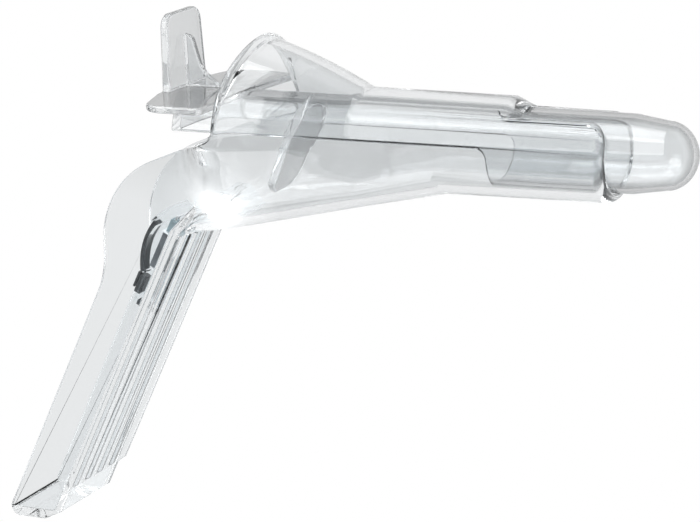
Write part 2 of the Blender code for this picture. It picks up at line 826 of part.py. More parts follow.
def lamp_centre():
    """Front of the lamp's flange, in the notch of the case's nose."""
    x = MODULE_NOSE_X - LAMP_FLANGE_LENGTH
    y = keel_floor(x) + 2 * SEAT_GAP + MODULE_WALL + LAMP_RADIUS + LAMP_FLANGE
    return (x, y, 0)


def turned(name, profile, finish, parent, origin, direction):
    """Solid of revolution from (along, radius) points, set at origin and pointing along direction."""
    rings = []
    for along, radius in profile:
        if radius == 0:
            rings.append([(along, 0.0, 0.0)])
        else:
            rings.append(circle_of(along, radius, ROUND_STEPS // 2))
    made = loft(name, rings, finish, parent)
    made.location = Vector(origin) * MM
    made.rotation_euler = (0, 0, direction)
    return made


def circle_of(x, radius, steps):
    points = []
    for step in range(steps):
        angle = 2 * math.pi * step / steps
        points.append((x, radius * math.sin(angle), radius * math.cos(angle)))
    return points


def make_lamp(finish, parent):
    """The white lamp: a flanged round body with a domed front."""
    rim = LAMP_RADIUS + LAMP_FLANGE
    profile = [(-LAMP_FLANGE_LENGTH, rim), (0, rim), (0, LAMP_RADIUS)]
    straight = LAMP_LENGTH - LAMP_RADIUS
    for step in range(ARC_STEPS):
        angle = math.pi / 2 * step / ARC_STEPS
        profile.append((straight + LAMP_RADIUS * math.sin(angle), LAMP_RADIUS * math.cos(angle)))
    profile.append((LAMP_LENGTH, 0))
    return turned("lamp", profile, finish, parent, lamp_centre(), LAMP_TILT)


def make_lead(name, side, finish, parent):
    """One of the lamp's two wires, from its base back to the header."""
    x, y, _ = lamp_centre()
    base = LAMP_FLANGE_LENGTH + SEAT_GAP
    start = (x - base * math.cos(LAMP_TILT), y - base * math.sin(LAMP_TILT))
    top = beside_handle(*along_handle(*header_corner(), -HEADER_LENGTH), HEADER_DEPTH / 2)
    end_x, end_y = along_handle(*top, -SEAT_GAP)
    middle_z = side * LEAD_SPREAD
    route = [
        (*start, middle_z),
        (start[0] - LEAD_STUB, start[1] - LEAD_STUB * math.sin(LAMP_TILT), middle_z),
        ((start[0] + end_x) / 2, (start[1] + end_y) / 2 + LEAD_RISE, middle_z),
        (*along_handle(end_x, end_y, -LEAD_STUB), middle_z),
        (end_x, end_y, middle_z),
    ]
    curve = bpy.data.curves.new(name, "CURVE")
    curve.dimensions = "3D"
    curve.bevel_depth = LEAD_RADIUS * MM
    curve.bevel_resolution = 2
    curve.use_fill_caps = True
    line = curve.splines.new("POLY")
    line.points.add(len(route) - 1)
    for point, place in zip(line.points, route):
        point.co = (*(Vector(place) * MM), 1.0)
    made = bpy.data.objects.new(name, curve)
    bpy.context.scene.collection.objects.link(made)
    made.parent = parent
    curve.materials.append(finish)
    return made


def cell_corner():
    """Lower front corner of the dark power cell, which stands along the handle."""
    top = module_top() - CELL_DROP
    x, y = beside_handle(module_front(top), top, CELL_SETBACK)
    return along_handle(x, y, CELL_LENGTH)


def make_cell(finish, parent):
    """The flat, dark power cell."""
    outline = block_outline(cell_corner(), CELL_THICKNESS, CELL_LENGTH)
    return slab("power_cell", outline, -CELL_HALF_WIDTH, CELL_HALF_WIDTH, finish, parent)


def make_sheet(finish, parent):
    """The thin white sheet between the power cell and the header."""
    x, y = beside_handle(*cell_corner(), -SEAT_GAP)
    corner = along_handle(x, y, -CELL_LENGTH - SEAT_GAP)
    outline = block_outline(corner, CELL_THICKNESS + 2 * SEAT_GAP, SHEET_THICKNESS)
    half = CELL_HALF_WIDTH + SEAT_GAP
    return slab("insulating_sheet", outline, -half, half, finish, parent)


def header_corner():
    """Lower front corner of the header, a gap above the sheet."""
    x, y = beside_handle(*cell_corner(), HEADER_SETBACK - CELL_SETBACK)
    return along_handle(x, y, -CELL_LENGTH - 2 * SEAT_GAP - SHEET_THICKNESS)


def make_header(finish, parent):
    """The block above the power cell that the lamp's wires end at."""
    outline = block_outline(header_corner(), HEADER_DEPTH, HEADER_LENGTH)
    return slab("lamp_header", outline, -CELL_HALF_WIDTH, CELL_HALF_WIDTH, finish, parent)


def board_corner():
    """Lower front corner of the board, which stands behind the handle's front wall."""
    x, y = beside_handle(*module_foot(), MODULE_WALL + SEAT_GAP)
    return along_handle(x, y, -MODULE_WALL - SEAT_GAP)


def make_board(finish, parent):
    """The narrow board that stands along the handle's front wall."""
    outline = block_outline(board_corner(), BOARD_THICKNESS, BOARD_LENGTH)
    return slab("lamp_board", outline, -BOARD_HALF_WIDTH, BOARD_HALF_WIDTH, finish, parent)


def make_chip(index, finish, parent):
    """One of the small resistors in a row on the back of the board."""
    x, y = beside_handle(*board_corner(), BOARD_THICKNESS + SEAT_GAP)
    corner = along_handle(x, y, CHIP_START + index * CHIP_PITCH + CHIP_LENGTH - BOARD_LENGTH)
    outline = block_outline(corner, CHIP_HEIGHT, CHIP_LENGTH)
    half = CHIP_WIDTH / 2
    return slab(f"chip_resistor_{index + 1}", outline, -half, half, finish, parent)


def make_foot_clip(name, setback, depth, finish, parent):
    """A small black clip under the foot of the case."""
    x, y = beside_handle(*module_foot(), setback)
    corner = along_handle(x, y, FOOT_CLIP_LENGTH + SEAT_GAP)
    outline = block_outline(corner, depth, FOOT_CLIP_LENGTH)
    return slab(name, outline, -FOOT_CLIP_HALF_WIDTH, FOOT_CLIP_HALF_WIDTH, finish, parent)


def switch_place():
    """Middle of the switch's back face, below the spine."""
    return (*beside_handle(module_front(switch_y()), switch_y(), SWITCH_SETBACK), 0)


def switch_frame(parent):
    """Empty at the switch's back face, whose y runs up along the handle."""
    frame = bpy.data.objects.new("switch_frame", None)
    bpy.context.scene.collection.objects.link(frame)
    frame.parent = parent
    frame.location = Vector(switch_place()) * MM
    frame.rotation_euler = (0, 0, -HANDLE_LEAN)
    return frame


def make_switch(finish, parent):
    """The slide switch's body, with the slot that its button runs in."""
    half = SWITCH_LENGTH / 2
    corner = SMALL_ROUNDING
    outline = rounded([
        (0, -half, corner),
        (SWITCH_DEPTH, -half, corner),
        (SWITCH_DEPTH, half, corner),
        (0, half, corner),
    ])
    body = slab("switch_body", outline, -SWITCH_HALF_WIDTH, SWITCH_HALF_WIDTH, finish, parent)
    run = (SLIDER_STEM + SWITCH_TRAVEL) / 2 + SEAT_GAP
    deep = SLIDER_STEM + 2 * SEAT_GAP
    corners = [(-1.0, -run), (deep, -run), (deep, run), (-1.0, run)]
    side = SLIDER_STEM / 2 + SEAT_GAP
    combine(body, helper(slab("switch_slot", corners, -side, side)), "DIFFERENCE")
    return body


def make_slider(finish, parent):
    """The switch's button: a bar outside the body on a stem that runs in the slot, at its upper stop."""
    top = SWITCH_TRAVEL / 2
    back = -SEAT_GAP
    half = SLIDER_LENGTH / 2
    stem = SLIDER_STEM / 2
    stem_outline = [
        (back - SLIDER_THICKNESS / 2, top - stem),
        (SLIDER_STEM, top - stem),
        (SLIDER_STEM, top + stem),
        (back - SLIDER_THICKNESS / 2, top + stem),
    ]
    corner = SMALL_ROUNDING
    bar_outline = rounded([
        (back, top - half, corner),
        (back, top + half, corner),
        (back - SLIDER_THICKNESS, top + half, corner),
        (back - SLIDER_THICKNESS, top - half, corner),
    ])
    wide = SWITCH_HALF_WIDTH - SEAT_GAP
    button = slab("switch_slider", bar_outline, -wide, wide, finish, parent, (back, top, 0))
    combine(button, helper(slab("slider_stem", stem_outline, -stem, stem)), "UNION")
    return button


def make_hood(finish, parent):
    """The clear hood over the lamp: a sloping window that stands on the keel's floor, and a short roof."""
    front = MODULE_NOSE_X + HOOD_REACH
    foot = keel_floor(front) + 2 * SEAT_GAP
    rise = -HOOD_TOP - foot
    window_top = front - rise * 0.87
    outline = [
        (front, foot),
        (window_top, -HOOD_TOP),
        (window_top - HOOD_ROOF, -HOOD_TOP),
        (window_top - HOOD_ROOF, -HOOD_TOP - HOOD_WALL),
        (window_top - HOOD_WALL / 2, -HOOD_TOP - HOOD_WALL),
        (front - 1.4 * HOOD_WALL, keel_floor(front - 1.4 * HOOD_WALL) + 2 * SEAT_GAP),
    ]
    return slab("lamp_hood", outline, -HOOD_HALF_WIDTH, HOOD_HALF_WIDTH, finish, parent)


def frame_empty():
    """The part's frame, turned as the part lies: on its flange's far corner, its sheath's end and its toe."""
    frame = bpy.data.objects.new("anoscope", None)
    bpy.context.scene.collection.objects.link(frame)
    corner_x = flange_stop() - FLANGE_FRONT_CORNER
    flange = Vector((corner_x, FLANGE_TOP - FLANGE_THICKNESS, -FLANGE_HALF_WIDTH))
    mouth_x = SHEATH_FRONT - SHEATH_ROUNDING
    mouth = Vector((mouth_x, 0, -sheath_radius(mouth_x)))
    toe_y = TOE_CHAMFER / 2 - HANDLE_BOTTOM
    toe = Vector((handle_face(toe_y), toe_y, -HANDLE_WIDTH / 2))
    upward = (toe - flange).cross(mouth - flange)
    if upward.z < 0:
        upward.negate()
    frame.rotation_mode = "QUATERNION"
    frame.rotation_quaternion = upward.rotation_difference(Vector((0, 0, 1)))
    return frame


def settle(frame):
    """Moves the lying part onto z = 0, with x = y = 0 at the middle of its box."""
    bpy.context.view_layer.update()
    graph = bpy.context.evaluated_depsgraph_get()
    low, high = Vector((math.inf,) * 3), Vector((-math.inf,) * 3)
    for made in bpy.data.objects:
        if made.type == "EMPTY" or made.hide_render:
            continue
        solid = made.evaluated_get(graph)
        for point in solid.to_mesh().vertices:
            place = solid.matrix_world @ point.co
            low = Vector(map(min, low, place))
            high = Vector(map(max, high, place))
        solid.to_mesh_clear()
    frame.location = Vector((-(low.x + high.x) / 2, -(low.y + high.y) / 2, -low.z))


def build():
    for old in list(bpy.data.objects):
        bpy.data.objects.remove(old, do_unlink=True)
    clear = material("clear_moulding", (0.86, 0.89, 0.9), 0.06, 0.0, 0.35)
    case = material("clear_case", (0.82, 0.85, 0.87), 0.12, 0.0, 0.45)
    black = material("black_plastic", (0.02, 0.02, 0.022), 0.4)
    grey = material("cell_grey", (0.085, 0.095, 0.105), 0.5)
    white = material("sheet_white", (0.9, 0.92, 0.93), 0.4)
    board = material("board_grey", (0.1, 0.11, 0.12), 0.5)
    chip = material("chip_ceramic", (0.3, 0.36, 0.38), 0.4)
    wire = material("tinned_wire", (0.7, 0.7, 0.7), 0.3, 1.0)
    glow = material("lamp_lens", (0.95, 0.97, 1.0), 0.1)
    frame = frame_empty()
    make_speculum(clear, frame)
    make_obturator(clear, frame)
    make_module_case(case, frame)
    make_hood(case, frame)
    make_spine(black, frame)
    switch = switch_frame(frame)
    make_switch(black, switch)
    make_slider(black, switch)
    make_lamp(glow, frame)
    make_lead("lamp_lead_positive", 1, wire, frame)
    make_lead("lamp_lead_negative", -1, wire, frame)
    make_header(chip, frame)
    make_sheet(white, frame)
    make_cell(grey, frame)
    make_board(board, frame)
    for index in range(CHIP_COUNT):
        make_chip(index, chip, frame)
    make_foot_clip("foot_clip_front", SEAT_GAP, FRONT_CLIP_DEPTH, black, frame)
    rear_setback = MODULE_FOOT_DEPTH - SEAT_GAP - REAR_CLIP_DEPTH
    make_foot_clip("foot_clip_rear", rear_setback, REAR_CLIP_DEPTH, black, frame)
    settle(frame)


build()
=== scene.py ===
"""The clear anoscope, its obturator and its light module, dressed and lit on a white table.

The two clear mouldings are made again here with finer sections and rounded edges. Their sizes are in
millimetres, with x along the sheath towards its open end, y up, away from the handle, and z to the near side.
"""
import logging
import math
from dataclasses import dataclass, field
from enum import Enum
from typing import Callable, Iterable, Sequence, Union

import bmesh
import bpy
from mathutils import Matrix, Vector


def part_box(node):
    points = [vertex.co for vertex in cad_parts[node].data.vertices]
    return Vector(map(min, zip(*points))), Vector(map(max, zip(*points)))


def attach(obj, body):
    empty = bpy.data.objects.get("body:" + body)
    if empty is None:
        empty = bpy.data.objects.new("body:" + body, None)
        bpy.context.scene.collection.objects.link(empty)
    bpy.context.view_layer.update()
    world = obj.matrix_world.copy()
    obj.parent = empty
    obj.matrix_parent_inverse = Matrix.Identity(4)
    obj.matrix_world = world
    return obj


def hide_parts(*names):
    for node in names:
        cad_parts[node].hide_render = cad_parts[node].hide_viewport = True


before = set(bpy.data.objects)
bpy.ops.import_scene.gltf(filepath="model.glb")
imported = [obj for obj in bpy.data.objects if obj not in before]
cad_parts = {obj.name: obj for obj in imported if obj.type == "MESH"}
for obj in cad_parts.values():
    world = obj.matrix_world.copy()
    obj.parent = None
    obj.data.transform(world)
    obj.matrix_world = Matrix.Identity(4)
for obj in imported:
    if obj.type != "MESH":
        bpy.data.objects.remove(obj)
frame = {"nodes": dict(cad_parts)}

LOG = logging.getLogger("anoscope")
MM = 0.001
ROUND_STEPS = 128
ARC_STEPS = 10
SHEATH_FRONT = 41.5
HANDLE_BOTTOM = 100.8
REST_UP = Vector((-0.136891, 0.189054, 0.972378))
REST_PLACE = Vector((30.678, 37.372, 16.689))

Point2 = tuple[float, float]
Point3 = tuple[float, float, float]
Number = Union[int, float]


class Cut(Enum):
    """How one solid takes part in another."""

    ADD = "UNION"
    REMOVE = "DIFFERENCE"
    KEEP_COMMON = "INTERSECT"


def smooth_share(value: float, low: float, high: float) -> float:
    """Smooth 0 to 1 as value goes from low to high.

    Args:
        value: The place along the range.
        low: Where the result is 0.
        high: Where the result is 1.

    Returns:
        The eased share.
    """
    share = min(1.0, max(0.0, (value - low) / (high - low)))
    return share * share * (3 - 2 * share)


def rounded(corners: Sequence[tuple[float, float, float]], steps: int = ARC_STEPS) -> list[Vector]:
    """Outline through corners, each rounded by its own radius.

    Args:
        corners: The (x, y, radius) corners in order.
        steps: How many steps each arc has.

    Returns:
        The outline's points.
    """
    points: list[Vector] = []
    count = len(corners)
    for index, (x, y, radius) in enumerate(corners):
        here = Vector((x, y))
        if radius <= 0:
            points.append(here)
            continue
        before = (Vector(corners[index - 1][:2]) - here).normalized()
        after = (Vector(corners[(index + 1) % count][:2]) - here).normalized()
        half = before.angle(after) / 2
        reach = radius / math.tan(half)
        centre = here + (before + after).normalized() * (radius / math.sin(half))
        start = here + before * reach - centre
        turn = start.angle_signed(here + after * reach - centre)
        points += [centre + Matrix.Rotation(-turn * step / steps, 2) @ start for step in range(steps + 1)]
    return points


def lying() -> Matrix:
    """How the part's own millimetres lie on the table, in metres of the frame.

    Returns:
        The transform.
    """
    turn = REST_UP.rotation_difference(Vector((0, 0, 1))).to_matrix().to_4x4()
    return Matrix.Scale(MM, 4) @ Matrix.Translation(REST_PLACE) @ turn


def ring(x: float, radius: float, steps: int = ROUND_STEPS) -> list[Point3]:
    """Circle about the sheath's axis.

    Args:
        x: Its place along the axis.
        radius: Its radius.
        steps: How many points it has.

    Returns:
        The circle's points.
    """
    turns = [2 * math.pi * step / steps for step in range(steps)]
    return [(x, radius * math.sin(turn), radius * math.cos(turn)) for turn in turns]


class Solid:
    """A closed mesh in the making, in millimetres of the part's own frame."""

    def __init__(self, name: str, work: bmesh.types.BMesh) -> None:
        """Keep the mesh as an object that the next steps can cut.

        Args:
            name: What the object is called.
            work: The mesh, which is freed.
        """
        bmesh.ops.recalc_face_normals(work, faces=work.faces)
        mesh = bpy.data.meshes.new(name)
        work.to_mesh(mesh)
        work.free()
        self.object = bpy.data.objects.new(name, mesh)
        bpy.context.scene.collection.objects.link(self.object)

    @classmethod
    def slab(
        cls, name: str, outline: Iterable[Sequence[float]], low: float, high: float, edge: float = 0.0
    ) -> "Solid":
        """Side-view outline extruded across the part.

        Args:
            name: What the solid is called.
            outline: The (x, y) points.
            low: Its lower z.
            high: Its upper z.
            edge: The rounding of its edges.

        Returns:
            The solid.
        """
        work = bmesh.new()
        face = work.faces.new([work.verts.new((x, y, low)) for x, y in outline])
        grown = bmesh.ops.extrude_face_region(work, geom=[face])
        moved = [item for item in grown["geom"] if isinstance(item, bmesh.types.BMVert)]
        bmesh.ops.translate(work, vec=(0, 0, high - low), verts=moved)
        made = cls(name, work)
        return made.soften(edge, 3, 50.0) if edge else made

    @classmethod
    def loft(cls, name: str, rings: Sequence[Sequence[Point3]]) -> "Solid":
        """Closed skin over rings of equal point count.

        Args:
            name: What the solid is called.
            rings: The sections in order. A section of one point closes that end in a pole.

        Returns:
            The solid.
        """
        work = bmesh.new()
        made = [[work.verts.new(point) for point in section] for section in rings]
        for first, second in zip(made, made[1:]):
            for index in range(len(first)):
                after = (index + 1) % len(first)
                if len(second) == 1:
                    work.faces.new((first[index], first[after], second[0]))
                else:
                    work.faces.new((first[index], first[after], second[after], second[index]))
        work.faces.new(made[0])
        if len(made[-1]) > 1:
            work.faces.new(made[-1])
        return cls(name, work)

    def moved(self, matrix: Matrix) -> "Solid":
        """Transform the mesh itself.

        Args:
            matrix: The transform.

        Returns:
            This solid.
        """
        self.object.data.transform(matrix)
        if matrix.determinant() < 0:
            self.object.data.flip_normals()
        return self

    def combine(self, other: "Solid", how: Cut) -> "Solid":
        """Take another solid into this one, and remove it.

        Args:
            other: The solid that is added or cut away.
            how: What is done with it.

        Returns:
            This solid.
        """
        step = self.object.modifiers.new(other.object.name, "BOOLEAN")
        step.operation = how.value
        step.solver = "EXACT"
        step.object = other.object
        self.bake()
        bpy.data.objects.remove(other.object)
        return self

    def bake(self) -> None:
        """Turn the modifiers' result into the plain mesh."""
        bpy.context.view_layer.update()
        graph = bpy.context.evaluated_depsgraph_get()
        old = self.object.data
        self.object.data = bpy.data.meshes.new_from_object(self.object.evaluated_get(graph))
        self.object.modifiers.clear()
        bpy.data.meshes.remove(old)

    def soften(self, width: float, segments: int = 2, angle: float = 40.0) -> "Solid":
        """Round the moulding's edges.

        Args:
            width: The rounding's width.
            segments: How many faces it has across.
            angle: The smallest angle between faces, in degrees, that is rounded.

        Returns:
            This solid.
        """
        work = bmesh.new()
        work.from_mesh(self.object.data)
        bmesh.ops.remove_doubles(work, verts=work.verts, dist=0.02)
        bmesh.ops.dissolve_degenerate(work, edges=work.edges, dist=0.02)
        flat = math.radians(0.5)
        bmesh.ops.dissolve_limit(work, angle_limit=flat, verts=work.verts, edges=work.edges)
        work.to_mesh(self.object.data)
        work.free()
        step = self.object.modifiers.new("rounding", "BEVEL")
        step.width = width
        step.segments = segments
        step.limit_method = "ANGLE"
        step.angle_limit = math.radians(angle)
        step.use_clamp_overlap = False
        step.miter_outer = "MITER_ARC"
        self.bake()
        return self

    def finish(self, name: str, node: str, material: bpy.types.Material) -> bpy.types.Object:
        """Put the finished piece in the frame, in the box of the piece it replaces, with its material.

        Args:
            name: The piece's name.
            node: The fixed frame's piece that it replaces.
            material: Its finish.

        Returns:
            The piece.
        """
        mesh = self.object.data
        mesh.transform(lying())
        low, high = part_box(node)
        for point in mesh.vertices:
            point.co = [min(max(value, least), most) for value, least, most in zip(point.co, low, high)]
        mesh.shade_smooth()
        mesh.set_sharp_from_angle(angle=math.radians(50))
        step = self.object.modifiers.new("even_normals", "WEIGHTED_NORMAL")
        step.keep_sharp = True
        self.bake()
        mesh = self.object.data
        mesh.materials.clear()
        mesh.materials.append(material)
        self.object.name = name
        mesh.name = name
        return self.object


class Value:
    """A shader socket that takes part in Python expressions."""

    def __init__(self, graph: "Graph", socket: bpy.types.NodeSocket) -> None:
        """Wrap a socket of a graph."""
        self.graph = graph
        self.socket = socket

    def _maths(self, operation: str, first: object, second: object) -> "Value":
        """Add one Math node.

        Args:
            operation: What the node does.
            first: Its first value.
            second: Its second value.

        Returns:
            The node's result.
        """
        return self.graph.node("ShaderNodeMath", {"operation": operation}, {0: first, 1: second})["Value"]

    def __add__(self, other: object) -> "Value":
        """Sum."""
        return self._maths("ADD", self, other)

    __radd__ = __add__

    def __sub__(self, other: object) -> "Value":
        """Difference."""
        return self._maths("SUBTRACT", self, other)

    def __rsub__(self, other: object) -> "Value":
        """Difference from a number."""
        return self._maths("SUBTRACT", other, self)

    def __mul__(self, other: object) -> "Value":
        """Product."""
        return self._maths("MULTIPLY", self, other)

    __rmul__ = __mul__

    def __pow__(self, other: object) -> "Value":
        """Power."""
        return self._maths("POWER", self, other)

    def either(self, other: object) -> "Value":
        """The larger of two."""
        return self._maths("MAXIMUM", self, other)


class Outputs:
    """A node's outputs by name."""

    def __init__(self, graph: "Graph", node: bpy.types.Node) -> None:
        """Keep the node of a graph."""
        self.graph = graph
        self.made = node

    def __getitem__(self, key: Union[str, int]) -> Value:
        """The output of that name or place."""
        return Value(self.graph, self.made.outputs[key])


class Graph:
    """The nodes of one material or of the world."""

    def __init__(self, tree: bpy.types.NodeTree) -> None:
        """Empty the tree and keep it."""
        self.tree = tree
        tree.nodes.clear()

    def node(self, kind: str, settings: dict | None = None, inputs: dict | None = None) -> Outputs:
        """Add a node of any kind.

        Args:
            kind: The node's type.
            settings: What is set on the node before its sockets, such as a ramp's stops.
            inputs: A value or a link for each socket, by name or place.

        Returns:
            The node's outputs.
        """
        made = self.tree.nodes.new(kind)
        for key, value in (settings or {}).items():
            if key == "stops":
                self._stops(made, value)
            else:
                setattr(made, key, value)
        for key, value in (inputs or {}).items():
            if isinstance(value, Value):
                self.tree.links.new(value.socket, made.inputs[key])
            else:
                made.inputs[key].default_value = value
        return Outputs(self, made)

    @staticmethod
    def _stops(made: bpy.types.Node, stops: Sequence[tuple[float, Sequence[float]]]) -> None:
        """Set a ramp's stops.

        Args:
            made: The ramp.
            stops: The place and colour of each stop, at least two.
        """
        ramp = made.color_ramp
        while len(ramp.elements) < len(stops):
            ramp.elements.new(0.5)
        for element, (place, colour) in zip(ramp.elements, stops):
            element.position = place
            element.color = colour


def new_material(name: str) -> tuple[bpy.types.Material, Graph]:
    """Make a material with an empty tree.

    Args:
        name: What it is called.

    Returns:
        The material and its graph.
    """
    made = bpy.data.materials.new(name)
    made.use_nodes = True
    return made, Graph(made.node_tree)


@dataclass(frozen=True)
class ClearPlastic:
    """Clear moulded plastic, faintly blue, with soft flow waves and its shine broken by handling. Its colour holds
    painted shade towards edge-on faces and a painted glow round the lamp.
    """

    name: str
    roughness: float = 0.035
    ior: float = 1.5
    wave: float = 0.02
    wave_scale: float = 60.0
    cool: tuple[float, float, float] = (0.985, 1.0, 1.008)
    # Painted edge shade: the base colour's level against facing, darkest where the surface is seen edge-on.
    levels: tuple[tuple[float, float], ...] = (
        (0.0, 0.76), (0.18, 0.77), (0.3, 0.88), (0.45, 0.87), (0.68, 0.7), (0.9, 0.2), (1.0, 0.02)
    )
    # Centre of the painted glow round the lamp, in millimetres of the part.
    glow: Point3 = (-54.9, -14.8, 14.0)
    # Round this point the painted edge shade is weaker; inner_clear pales it in internal reflections.
    grip: Point3 = (-88.0, -62.0, 0.0)
    grip_shade: float = 0.5
    inner_clear: float = 0.15

    def build(self) -> bpy.types.Material:
        """Make the material.

        Returns:
            The finished material.
        """
        made, graph = new_material(self.name)
        place = graph.node("ShaderNodeTexCoord")["Object"]
        flow = graph.node("ShaderNodeMapping", {}, {"Vector": place, "Scale": (0.35, 1.0, 1.0)})["Vector"]
        waves = graph.node(
            "ShaderNodeTexNoise", {}, {"Vector": flow, "Scale": self.wave_scale, "Detail": 2.0, "Roughness": 0.45}
        )["Fac"]
        bump = graph.node(
            "ShaderNodeBump", {}, {"Strength": self.wave, "Distance": 0.0012, "Height": waves}
        )["Normal"]
        marks = graph.node(
            "ShaderNodeTexNoise", {}, {"Vector": place, "Scale": 240.0, "Detail": 4.0, "Roughness": 0.6}
        )["Fac"]
        rough = (marks ** 3.0) * (3.0 * self.roughness) + 0.4 * self.roughness
        # Painted shade: the base colour darkens as the surface turns edge-on, and less so round the grip.
        level = self.grip_level(graph, place)
        edge = graph.node("ShaderNodeLayerWeight", {}, {"Blend": 0.5})["Facing"] * level
        stops = [(at, (*(min(1.0, level * part) for part in self.cool), 1.0)) for at, level in self.levels]
        painted_shade_tone = graph.node("ShaderNodeValToRGB", {"stops": stops}, {"Fac": edge})["Color"]
        # Internal reflections take a paler colour, so the painted edge shade does not pile up into black.
        path = graph.node("ShaderNodeLightPath")
        inner = {"Factor": path["Is Glossy Ray"] * ((1.0 - level) * 1.4 + self.inner_clear), 6: painted_shade_tone, 7: (0.97, 0.99, 1.0, 1.0)}
        seen = graph.node("ShaderNodeMix", {"data_type": "RGBA"}, inner)[2]
        # The emission here is a painted glow round the lamp.
        clear = graph.node(
            "ShaderNodeBsdfPrincipled",
            {},
            {
                "Base Color": seen,
                "Roughness": rough,
                "IOR": self.ior,
                "Transmission Weight": 1.0,
                "Normal": bump,
                "Emission Color": self.painted_lamp_glow(graph, place),
                "Emission Strength": 1.0,
            },
        )["BSDF"]
        passing = graph.node("ShaderNodeBsdfTransparent", {}, {"Color": (0.93, 0.95, 0.96, 1.0)})["BSDF"]
        shadow = path["Is Shadow Ray"]
        whole = graph.node("ShaderNodeMixShader", {}, {"Fac": shadow, 1: clear, 2: passing})["Shader"]
        graph.node("ShaderNodeOutputMaterial", {}, {"Surface": whole})
        return made


    def grip_level(self, graph: Graph, place: Value) -> Value:
        """How strong the painted edge shade is: weaker within a sphere round the ribbed handle than elsewhere.

        Args:
            graph: The material's graph.
            place: The place on the piece.

        Returns:
            The factor, lowest in the handle.
        """
        centre = lying() @ Vector(self.grip)
        away = graph.node("ShaderNodeVectorMath", {"operation": "DISTANCE"}, {0: place, 1: centre})["Value"]
        ends = {"From Min": 0.048, "From Max": 0.058, "To Min": self.grip_shade, "To Max": 1.0}
        return graph.node("ShaderNodeMapRange", {}, {"Value": away, **ends})["Result"]

    def painted_lamp_glow(self, graph: Graph, place: Value) -> Value:
        """Painted glow: emission on the plastic round the lamp, standing in for the lamp's light that the plastic
        scatters.

        Args:
            graph: The material's graph.
            place: The place on the piece.

        Returns:
            The light's colour.
        """
        centre = lying() @ Vector(self.glow)
        away = graph.node("ShaderNodeVectorMath", {"operation": "DISTANCE"}, {0: place, 1: centre})["Value"]
        share = graph.node("ShaderNodeMapRange", {}, {"Value": away, "From Max": 0.016})["Result"]
        levels = ((0.0, 1.0), (0.16, 1.0), (0.25, 0.2), (0.5, 0.05), (1.0, 0.0))
        stops = [(at, (level, level, level, 1.0)) for at, level in levels]
        return graph.node("ShaderNodeValToRGB", {"stops": stops}, {"Fac": share})["Color"]


@dataclass(frozen=True)
class OpaqueFinish:
    """A moulded or plated finish with fine grain and a little unevenness."""

    name: str
    colour: tuple[float, float, float]
    roughness: float = 0.45
    metallic: float = 0.0
    grain: float = 0.25
    grain_scale: float = 2400.0
    spread: float = 0.18

    def build(self) -> bpy.types.Material:
        """Make the material.

        Returns:
            The finished material.
        """
        made, graph = new_material(self.name)
        place = graph.node("ShaderNodeTexCoord")["Object"]
        grain = graph.node(
            "ShaderNodeTexNoise", {}, {"Vector": place, "Scale": self.grain_scale, "Detail": 3.0}
        )["Fac"]
        patches = graph.node(
            "ShaderNodeTexNoise", {}, {"Vector": place, "Scale": self.grain_scale / 8, "Detail": 3.0}
        )["Fac"]
        low = tuple(channel * (1 - self.spread) for channel in self.colour)
        high = tuple(min(1.0, channel * (1 + self.spread)) for channel in self.colour)
        stops = [(0.35, (*low, 1.0)), (0.65, (*high, 1.0))]
        colour = graph.node("ShaderNodeValToRGB", {"stops": stops}, {"Fac": patches})["Color"]
        bump = graph.node(
            "ShaderNodeBump", {}, {"Strength": self.grain, "Distance": 0.00006, "Height": grain}
        )["Normal"]
        rough = patches * 0.2 + (self.roughness - 0.1)
        shader = graph.node(
            "ShaderNodeBsdfPrincipled",
            {},
            {"Base Color": colour, "Roughness": rough, "Metallic": self.metallic, "Normal": bump},
        )["BSDF"]
        graph.node("ShaderNodeOutputMaterial", {}, {"Surface": shader})
        return made


@dataclass(frozen=True)
class LitLens:
    """The lamp's white lens, lit from inside, with a faint cloudy unevenness."""

    name: str
    colour: tuple[float, float, float] = (0.95, 0.98, 1.0)
    strength: float = 4.0

    def build(self) -> bpy.types.Material:
        """Make the material.

        Returns:
            The finished material.
        """
        made, graph = new_material(self.name)
        place = graph.node("ShaderNodeTexCoord")["Object"]
        cloud = graph.node("ShaderNodeTexNoise", {}, {"Vector": place, "Scale": 600.0, "Detail": 2.0})["Fac"]
        stops = [(0.3, (*(0.92 * c for c in self.colour), 1.0)), (0.7, (*self.colour, 1.0))]
        colour = graph.node("ShaderNodeValToRGB", {"stops": stops}, {"Fac": cloud})["Color"]
        shader = graph.node(
            "ShaderNodeBsdfPrincipled",
            {},
            {"Base Color": colour, "Roughness": 0.2, "Emission Color": colour, "Emission Strength": self.strength},
        )["BSDF"]
        graph.node("ShaderNodeOutputMaterial", {}, {"Surface": shader})
        return made


@dataclass
class Moulding:
    """Sizes that the two clear mouldings share."""

    draft: float = 0.0093
    clearance: float = 0.35
    stem_end_radius: float = 9.1
    handle_lean: float = math.radians(26.7)
    rim_heel: Point2 = (-50.6, 2.6)
    rim_low_x: float = -49.6
    rim_bow: float = 2.8
    crown: float = 22.3

    def stem_radius(self, x: float) -> float:
        """Radius of the obturator's stem at x."""
        return self.stem_end_radius + self.draft * (SHEATH_FRONT - x)

    def bore_radius(self, x: float) -> float:
        """Radius of the sheath's bore at x."""
        return self.stem_radius(x) + self.clearance

    def rim_x(self, y: float) -> float:
        """Where the middle of the funnel's bowed rim is at height y."""
        return self.rim_low_x + self.rim_bow * max(0.0, y / self.crown) ** 3.2


